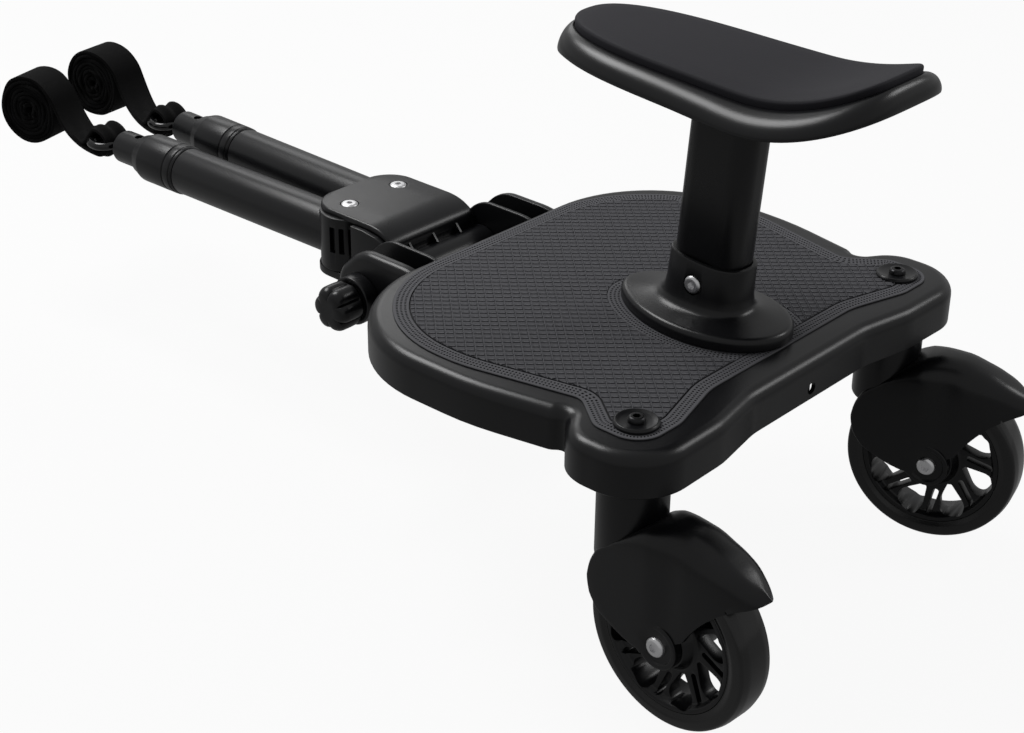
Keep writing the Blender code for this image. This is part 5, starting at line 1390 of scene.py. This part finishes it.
@dataclass
class StrapRoll:
    """Hook-and-loop tape, looped through an eye and wound into a roll, in the arm's frame."""

    arm: Arm
    width: float = 0.031
    gathered: float = 0.0228
    thickness: float = 0.0027
    pitch: float = 0.0033
    core: float = 0.0034
    radius: float = 0.0290
    turn_steps: int = 48
    loop_y: float = 0.0150
    loop_z: float = 0.0112

    @property
    def place(self) -> Vector:
        """The roll's centre, from the eye's far bar."""
        slack = 0.2678 - self.arm.tip
        return Vector((-0.001, 0.0722 + slack, 0.0075) if self.arm.side is Side.LEFT
                      else (0.005, 0.0790 + slack, 0.0100))

    @property
    def yaw(self) -> float:
        """How far the roll's axis is turned about Z."""
        return math.radians(14 if self.arm.side is Side.LEFT else 10)

    def stations(self) -> list[tuple[Vector, Vector, float, float]]:
        """Stations from the roll's core to the loose end.

        Returns:
            Rows of (point, width direction, width, how far the tape is gathered).
        """
        bar = Vector((0, self.arm.tip + self.arm.eye_reach + self.arm.eye_half_y, 0))
        centre = bar + self.place
        turn = Matrix.Rotation(self.yaw, 3, "Z")
        forward, across, up = turn @ Vector((0, 1, 0)), turn @ Vector((1, 0, 0)), Vector((0, 0, 1))
        leave = math.radians(158)
        turns = (self.radius - self.core) / self.pitch
        count = round(turns * self.turn_steps)
        rows = []
        for step in range(count + 1):
            angle = leave - math.tau * turns * (1 - step / count)
            reach = self.core + (self.radius - self.core) * step / count
            wobble = noise.noise(Vector((math.cos(angle), math.sin(angle), 0.55 * angle)) * 1.1) * 0.0005
            shift = noise.noise(Vector((0.9 * angle, 3.1, self.arm.side.value))) * 0.0034
            spot = centre + (forward * math.cos(angle) + up * math.sin(angle)) * (reach + wobble) + across * shift
            rows.append((spot, across, self.width, 0.0))
        start = rows[-1][0]
        heading = up * math.cos(leave) - forward * math.sin(leave)
        middle = bar - Vector((0, self.loop_y - self.arm.eye_bar, 0)) * 0.5
        under = middle - up * self.loop_z
        pull = (start - under).length / 2.6
        neck = []
        steps = 36
        for step in range(1, steps + 1):
            t = step / steps
            spot = (start * (1 - t) ** 3 + (start + heading * pull) * 3 * t * (1 - t) ** 2
                    + (under + Vector((0, 1, 0)) * pull) * 3 * t * t * (1 - t) + under * t ** 3)
            ease = eased(t)
            neck.append((spot, (across * (1 - ease) + Vector((1, 0, 0)) * ease).normalized(),
                         self.width + (self.gathered - self.width) * ease, ease))
        rows += neck
        for step in range(1, 33):
            angle = math.radians(-90 - 180 * step / 32)
            spot = middle + Vector((0, math.cos(angle) * self.loop_y, math.sin(angle) * self.loop_z))
            rows.append((spot, Vector((1, 0, 0)), self.gathered, 1.0))
        travelled = 0.0
        back = list(reversed(neck))
        lift = 2 * self.loop_z
        for (here, side, width, share), (after, _, _, _) in zip(back, back[1:]):
            travelled += (after - here).length
            if travelled > 0.036:
                break
            ease = eased(travelled / 0.024)
            normal = (after - here).normalized().cross(side).normalized()
            normal = -normal if normal.z < 0 else normal
            rows.append((after + normal * (lift + (self.pitch * 1.05 - lift) * ease), side, width, share))
        return rows

    def build(self, wardrobe: Wardrobe) -> None:
        """Make the tape as a thin closed band with its own map."""
        rows = self.stations()
        made = Form()
        sheet = made.bm.loops.layers.uv.new("tape")
        lanes = [-0.5, -0.49, -0.4, -0.3, -0.2, -0.1, 0.0, 0.1, 0.2, 0.3, 0.4, 0.49, 0.5]
        marks: dict = {}
        sections, maps = [], []
        travelled = 0.0
        for index, (spot, across, width, share) in enumerate(rows):
            before = rows[max(0, index - 1)][0]
            after = rows[min(len(rows) - 1, index + 1)][0]
            if index:
                travelled += (spot - before).length
            normal = (after - before).normalized().cross(across).normalized()
            section, mapped = [], []
            for face in (1, -1):
                for lane in lanes if face > 0 else reversed(lanes):
                    thin = self.thickness / 2 * (1.0 if abs(lane) < 0.495 else 0.45)
                    fold = 0.0011 * share * math.sin(lane * math.tau * 2.0 + 0.6)
                    section.append(spot + across * lane * width + normal * (face * thin + fold))
                    mapped.append((lane * self.width, travelled))
            sections.append(section)
            maps.append(mapped)
        for ring, mapped in zip(made.loft(sections), maps):
            marks.update(zip(ring, mapped))
        for face in made.bm.faces:
            for corner in face.loops:
                corner[sheet].uv = marks[corner.vert]
        side = self.arm.side.label
        piece = made.piece(f"strap_roll_{side}", self.arm.matrix, smooth=60)
        wardrobe.wear(piece, Slot.WEBBING, f"eye_{side}", f"strap_{side}")


# Casters

@dataclass
class Caster:
    """One swivel caster: stem, hood and fork legs in one moulding, with the wheel's bolt."""

    side: Side
    trail: float = 0.0407
    axle_z: float = -0.126
    half: float = 0.020
    plate: float = 0.0045
    crown: float = 0.081
    crown_round: float = 0.0165
    stem_radius: float = 0.022
    wheel_room: float = 0.0635

    @property
    def swivel(self) -> float:
        """How far the caster is turned about its pivot."""
        return math.radians(-2.7 if self.side is Side.LEFT else 14.7)

    @property
    def matrix(self) -> Matrix:
        """From the caster's frame to the object's."""
        return Matrix.Translation((self.side.value * 0.1375, -0.165, 0)) @ Matrix.Rotation(self.swivel, 4, "Z")

    @property
    def axle(self) -> Matrix:
        """From the axle's frame to the caster's."""
        return Matrix.Translation((0, -self.trail, self.axle_z))

    def outer(self, degrees: float) -> float:
        """Outer radius of the hood from the axle at an angle from forward."""
        table = [(-40, 0.0158), (-28, 0.0168), (-16, 0.0235), (-8, 0.0300), (-1, 0.0372), (5, 0.0472), (14, 0.0556),
                 (23.6, 0.0614), (33.5, 0.0648), (42, 0.0668), (54, 0.0664), (62, 0.0676), (68, 0.0698), (74, 0.0728),
                 (80, 0.0756), (88, 0.0774), (100, 0.0788), (110, 0.0790), (120, 0.0799), (130, 0.0818),
                 (140.5, 0.0855), (150, 0.0885)]
        return between(table, degrees)

    def side_view(self) -> list[Vector]:
        """Side view of the hood about the axle: everything ahead of and above its rear lower edge."""
        edge = curve_through([(-0.0128, -0.0080), (-0.0160, 0.0050), (-0.0200, 0.0150), (-0.0285, 0.0275),
                              (-0.0390, 0.0385), (-0.0490, 0.0454), (-0.0575, 0.0496), (-0.0628, 0.0524),
                              (-0.0656, 0.0556), (-0.0652, 0.0600)], 6)
        return [Vector(p) for p in edge] + [Vector(p) for p in (
            (-0.060, 0.110), (0.080, 0.110), (0.080, -0.030), (0.0, -0.030))]

    def half_at(self, y: float) -> float:
        """Half width of the hood at a point along the caster, narrower behind the side's crease."""
        behind = (-y - 0.0585) / 0.0480
        if behind <= 0:
            return self.half + 0.0024 * eased((y + 0.052) / 0.024)
        return self.half * (1 - 0.26 * behind) * math.sqrt(max(0.02, 1 - min(1.0, behind) ** 3.0))

    def section(self, degrees: float, skin: float = 0.0) -> list[Vector]:
        """Section of the hood at an angle, or of the room inside it where skin is its wall."""
        angle = math.radians(degrees)
        outer = self.outer(degrees) - skin
        inner = 0.0 if skin else 0.006
        soft = 0.0020 + (self.crown_round - 0.0020) * eased((degrees - 56) / 34) - 0.006 * eased((degrees - 105) / 25)
        edge = max(0.0005, min(soft, (outer - inner) * 0.6) - skin)
        flat = [inner + (outer - edge - inner) * k / 6 for k in range(7)]
        flank = [(1.0, r, 0.0) for r in flat]
        for step in range(1, 8):
            bend = math.pi / 2 * step / 7
            flank.append((1.0, outer - edge * (1 - math.sin(bend)), edge * (1 - math.cos(bend))))
        points = []
        for mirror in (1, -1):
            rows = flank if mirror > 0 else list(reversed(flank))
            for _, r, inset in rows:
                y = r * math.cos(angle)
                half = self.half_at(y - self.trail) - (self.plate if skin else 0.0)
                points.append(Vector((mirror * max(0.0004, half - min(inset, half * 0.94)), y, r * math.sin(angle))))
        return points

    def hood(self) -> bpy.types.Object:
        """The hood and fork legs with the wheel's room cut out."""
        solid = Form()
        solid.loft([self.section(value) for value in range(-40, 149, 2)])
        made = solid.piece(f"caster_{self.side.label}", self.axle)
        plan = Form().prism(self.side_view(), -0.04, 0.04).turned(ALONG_X).piece("side_view", self.axle)
        carved(made, plan, operation="INTERSECT")
        vault = Form()
        vault.loft([self.section(value, 0.003) for value in range(86, 152, 4)])
        carved(made, self.room(), vault.piece("vault", self.axle))
        return softened(made, 0.0005, 2, 50)

    def room(self) -> bpy.types.Object:
        """The wheel's room between the legs."""
        inner = self.half - self.plate
        profile = [(0, -inner), (self.wheel_room, -inner), (self.wheel_room, inner), (0, inner)]
        return Form().lathe(profile, 128).turned(ALONG_X).piece("wheel_room", self.axle)

    def bosses(self) -> Form:
        """The stem and the axle's bosses on both legs."""
        r = self.stem_radius
        line = rounded([(0, -0.0293), (r, -0.0293, 0.0008), (r, -0.0905, 0.004), (0, -0.0905)], math.radians(15),
                       closed=False)
        stem = carved(Form().lathe([tuple(p) for p in line], 96).piece("stem"), self.room())
        made = Form()
        made.bm.from_mesh(stem.data)
        bpy.data.objects.remove(stem)
        for mirror in (1, -1):
            face = self.half
            line = rounded([(0.0045, face - 0.0044), (0.0152, face - 0.0044), (0.0152, face + 0.0014, 0.0010),
                            (0.0122, face + 0.0014, 0.0006), (0.0112, face + 0.0001, 0.0005),
                            (0.0045, face + 0.0001)], math.radians(15), closed=False)
            boss = Form().lathe([tuple(p) for p in line], 72).turned(ALONG_X)
            made.take(boss.turned(self.axle @ Matrix.Rotation(0 if mirror > 0 else math.pi, 4, "Z")))
        return made

    def build(self, wardrobe: Wardrobe) -> None:
        """Make the moulding and the bolt's head."""
        side = self.side.label
        hood = self.hood()
        whole = Form()
        whole.bm.from_mesh(hood.data)
        bpy.data.objects.remove(hood)
        whole.take(self.bosses())
        made = whole.piece(f"caster_{side}", self.matrix)
        wardrobe.wear(made, Slot.PLASTIC, f"caster_{side}", f"caster_fork_{side}")
        head = SocketScrew(0.0068, 0.0036).form().turned(Matrix.Translation((0, 0, self.half)))
        head.take(Form().lathe([(0, -0.0245), (0.004, -0.0245), (0.004, self.half + 0.001), (0, self.half + 0.001)], 32))
        head.turned(ALONG_X).turned(Matrix.Rotation(math.pi, 4, "Z"))
        bolt = head.piece(f"wheel_bolt_{side}", self.matrix @ self.axle)
        wardrobe.wear(bolt, Slot.SILVER, f"caster_{side}", f"axle_bolt_{side}")


@dataclass
class Wheel:
    """A spoked rim with swept windows and slots, and its glossy tyre."""

    caster: Caster
    radius: float = 0.060
    seat: float = 0.0475
    tyre_half: float = 0.0140
    rim_half: float = 0.0128
    rim_wall: float = 0.0030
    hub: float = 0.0165
    hub_half: float = 0.0152
    web_near: float = 0.0088
    web_far: float = 0.0010
    windows: int = 8
    window_start: float = 0.0215
    window_end: float = 0.0440
    window_half: float = 0.0094
    slot_half: float = 0.0020
    sweep: float = math.radians(14)

    @property
    def first_window(self) -> float:
        """Where the first window stands."""
        return math.radians(30 if self.caster.side is Side.LEFT else 19)

    @property
    def matrix(self) -> Matrix:
        """From the wheel's frame, its axle along Z, to the object's."""
        return self.caster.matrix @ self.caster.axle @ ALONG_X

    def holes(self) -> bpy.types.Object:
        """All windows and slots as one cutter."""
        w, a, b = self.window_half, self.window_start, self.window_end
        window = rounded([(a, -0.0016, 0.0013), (b - 0.0085, -w, 0.010), (b, -w * 0.92, 0.0052), (b, w * 0.92, 0.0052),
                          (b - 0.0085, w, 0.010), (a, 0.0016, 0.0013)], math.radians(15))
        s = self.slot_half
        slot = rounded([(a + 0.002, -s, s * 0.9), (b - 0.001, -s, s * 0.9), (b - 0.001, s, s * 0.9),
                        (a + 0.002, s, s * 0.9)], math.radians(30))
        lean = Matrix.Translation((b, 0, 0)) @ Matrix.Rotation(self.sweep, 4, "Z") @ Matrix.Translation((-b, 0, 0))
        made = Form()
        for index in range(self.windows):
            angle = self.first_window + math.tau * index / self.windows
            made.take(Form().prism(window, -0.02, 0.02).turned(lean).turned(Matrix.Rotation(angle, 4, "Z")))
            angle += math.pi / self.windows
            made.take(Form().prism(slot, -0.02, 0.02).turned(lean).turned(Matrix.Rotation(angle, 4, "Z")))
        return made.piece("wheel_holes")

    def rim(self) -> bpy.types.Object:
        """The rim with its hub, web and holes."""
        outer, half, near, far = self.seat - 0.0002, self.rim_half, self.web_near, self.web_far
        inner = outer - self.rim_wall
        line = [(outer, half, 0.0006), (outer, -half, 0.0006), (inner, -half, 0.0012), (inner - 0.0024, -near, 0.002),
                (self.hub + 0.0035, -near + 0.0012, 0.003), (self.hub - 0.0005, -self.hub_half, 0.0008),
                (0.0098, -self.hub_half), (0.0098, -0.0098), (0.0045, -0.0098), (0.0045, 0.0098), (0.0098, 0.0098),
                (0.0098, self.hub_half), (self.hub - 0.0005, self.hub_half, 0.0008), (self.hub + 0.002, far, 0.003),
                (inner - 0.001, far, 0.002), (inner, half, 0.0006)]
        made = Form().lathe([tuple(p) for p in rounded(line, math.radians(20))], 96).piece("rim")
        carved(made, self.holes())
        softened(made, 0.0006, 2, 45)
        made.name = f"spoked_rim_{self.caster.side.label}"
        made.data.transform(self.matrix)
        return made

    def tyre(self) -> Form:
        """The tyre: rounded shoulders and a small lip on the rim."""
        r, seat, half = self.radius, self.seat, self.tyre_half
        line = [(seat, self.rim_half, 0.0002), (seat + 0.0006, half - 0.0016, 0.0005), (seat + 0.0042, half, 0.004),
                (r - 0.0016, half - 0.0008, 0.0028), (r - 0.0001, half - 0.0070, 0.010)]
        whole = line + [(radius, -x, soft) for radius, x, soft in reversed(line)]
        return Form().lathe([tuple(p) for p in rounded(whole, math.radians(10))], 128)

    def build(self, wardrobe: Wardrobe) -> None:
        """Make the rim and the tyre."""
        side = self.caster.side.label
        wardrobe.wear(self.rim(), Slot.PLASTIC, f"wheel_{side}", f"wheel_rim_{side}")
        made = self.tyre().piece(f"solid_tyre_{side}", self.matrix)
        wardrobe.wear(made, Slot.TYRE, f"wheel_{side}", f"tyre_{side}")


# Studio

@dataclass
class Studio:
    """Pale floor, plain soft light and the camera of the photograph."""

    focal: float = 67.75
    heading: float = math.radians(47.793)
    down: float = math.radians(28.099)
    roll: float = math.radians(0.634)
    eye: Point = (-0.8999, -0.7592, 0.5509)
    glow: float = 0.93
    bounce: float = 0.24
    sky: float = 0.14
    mirror: float = 0.34
    gleam: float = 0.20

    def camera(self) -> None:
        """Place the camera."""
        data = bpy.data.cameras.new("camera")
        data.lens = self.focal
        data.sensor_width = 36.0
        data.clip_start = 0.01
        data.dof.use_dof = False
        ahead = Vector((math.sin(self.heading) * math.cos(self.down), math.cos(self.heading) * math.cos(self.down),
                        -math.sin(self.down)))
        level = Vector((math.cos(self.heading), -math.sin(self.heading), 0))
        above = level.cross(ahead)
        right = level * math.cos(self.roll) + above * math.sin(self.roll)
        up = above * math.cos(self.roll) - level * math.sin(self.roll)
        made = bpy.data.objects.new("camera", data)
        rows = Matrix((right, up, -ahead)).transposed()
        made.matrix_world = Matrix.Translation(self.eye) @ rows.to_4x4()
        bpy.context.scene.collection.objects.link(made)
        bpy.context.scene.camera = made

    def lamp(self, name: str, spot: Point, size: float, power: float) -> None:
        """A square soft lamp that faces the object."""
        data = bpy.data.lights.new(name, "AREA")
        data.shape = "SQUARE"
        data.size = size
        data.energy = power
        made = bpy.data.objects.new(name, data)
        aim = Vector((0.0, 0.05, 0.0)) - Vector(spot)
        made.matrix_world = Matrix.Translation(spot) @ aim.to_track_quat("-Z", "Y").to_matrix().to_4x4()
        bpy.context.scene.collection.objects.link(made)

    def backdrop(self) -> None:
        """White surroundings for the camera and a dimmer sky for the light."""
        world = bpy.data.worlds.new("studio")
        bpy.context.scene.world = world
        world.use_nodes = True
        tree = world.node_tree
        tree.nodes.clear()
        path = tree.nodes.new("ShaderNodeLightPath")
        sky, white = tree.nodes.new("ShaderNodeBackground"), tree.nodes.new("ShaderNodeBackground")
        sky.inputs["Color"].default_value = (1, 1, 1, 1)
        sky.inputs["Strength"].default_value = self.sky
        white.inputs["Strength"].default_value = 1.0
        white.inputs["Color"].default_value = (1, 1, 1, 1)
        gleam, seen = tree.nodes.new("ShaderNodeMath"), tree.nodes.new("ShaderNodeMath")
        gleam.operation, seen.operation = "MULTIPLY", "MAXIMUM"
        gleam.inputs[1].default_value = self.mirror
        mix, out = tree.nodes.new("ShaderNodeMixShader"), tree.nodes.new("ShaderNodeOutputWorld")
        tree.links.new(path.outputs["Is Glossy Ray"], gleam.inputs[0])
        tree.links.new(path.outputs["Is Camera Ray"], seen.inputs[0])
        tree.links.new(gleam.outputs[0], seen.inputs[1])
        tree.links.new(seen.outputs[0], mix.inputs[0])
        tree.links.new(sky.outputs[0], mix.inputs[1])
        tree.links.new(white.outputs[0], mix.inputs[2])
        tree.links.new(mix.outputs[0], out.inputs[0])

    def floor(self) -> None:
        """A wide pale floor that keeps the object's shadow."""
        made = Form()
        bmesh.ops.create_grid(made.bm, x_segments=1, y_segments=1, size=6.0)
        floor = made.piece("floor", Matrix.Translation((0, 0, GROUND)))
        material = bpy.data.materials.new("floor")
        material.use_nodes = True
        tree = material.node_tree
        tree.nodes.clear()
        matt, glow = tree.nodes.new("ShaderNodeBsdfDiffuse"), tree.nodes.new("ShaderNodeEmission")
        bounce = tree.nodes.new("ShaderNodeMix")
        bounce.data_type = "RGBA"
        bounce.inputs[6].default_value = (self.bounce, self.bounce, self.bounce, 1)
        bounce.inputs[7].default_value = (0.85, 0.85, 0.85, 1)
        glow.inputs["Strength"].default_value = 1.0
        glow.inputs["Color"].default_value = (1, 1, 1, 1)
        path, share = tree.nodes.new("ShaderNodeLightPath"), tree.nodes.new("ShaderNodeMath")
        share.operation = "MULTIPLY"
        share.inputs[1].default_value = self.glow
        mix, out = tree.nodes.new("ShaderNodeMixShader"), tree.nodes.new("ShaderNodeOutputMaterial")
        gleam, seen = tree.nodes.new("ShaderNodeMath"), tree.nodes.new("ShaderNodeMath")
        gleam.operation, seen.operation = "MULTIPLY", "MAXIMUM"
        gleam.inputs[1].default_value = self.gleam
        tree.links.new(path.outputs["Is Glossy Ray"], gleam.inputs[0])
        tree.links.new(path.outputs["Is Camera Ray"], share.inputs[0])
        tree.links.new(path.outputs["Is Camera Ray"], bounce.inputs[0])
        tree.links.new(share.outputs[0], seen.inputs[0])
        tree.links.new(gleam.outputs[0], seen.inputs[1])
        tree.links.new(bounce.outputs[2], matt.inputs["Color"])
        tree.links.new(seen.outputs[0], mix.inputs[0])
        tree.links.new(matt.outputs[0], mix.inputs[1])
        tree.links.new(glow.outputs[0], mix.inputs[2])
        tree.links.new(mix.outputs[0], out.inputs[0])
        floor.data.materials.append(material)

    def build(self) -> None:
        """Set the whole studio up."""
        bpy.context.scene.view_settings.view_transform = "Standard"
        self.camera()
        self.backdrop()
        self.floor()
        self.lamp("top", (-0.15, 1.15, 1.50), 0.8, 20.0)
        self.lamp("back", (0.9, 1.5, 0.9), 0.6, 2.0)
        self.lamp("right", (1.4, -1.0, 1.2), 0.6, 6.5)


def main() -> None:
    """Build the studio, then each sub-assembly in turn."""
    logging.basicConfig(level=logging.INFO, format="%(name)s: %(message)s")
    Studio().build()
    wardrobe = Wardrobe(FINISHES)
    wardrobe.dress_frame()
    foot = SeatFoot()
    Footboard().build(wardrobe)
    TreadMat().build(wardrobe, foot.outline())
    foot.build(wardrobe)
    SeatTube(foot).build(wardrobe)
    Saddle(foot).build(wardrobe)
    Connector().build(wardrobe)
    for side in Side:
        CasterMount(side).build(wardrobe)
        ClampKnob(side).build(wardrobe)
        arm = Arm(side)
        arm.build(wardrobe)
        StrapRoll(arm).build(wardrobe)
        caster = Caster(side)
        caster.build(wardrobe)
        Wheel(caster).build(wardrobe)


if __name__ == "__main__":
    main()
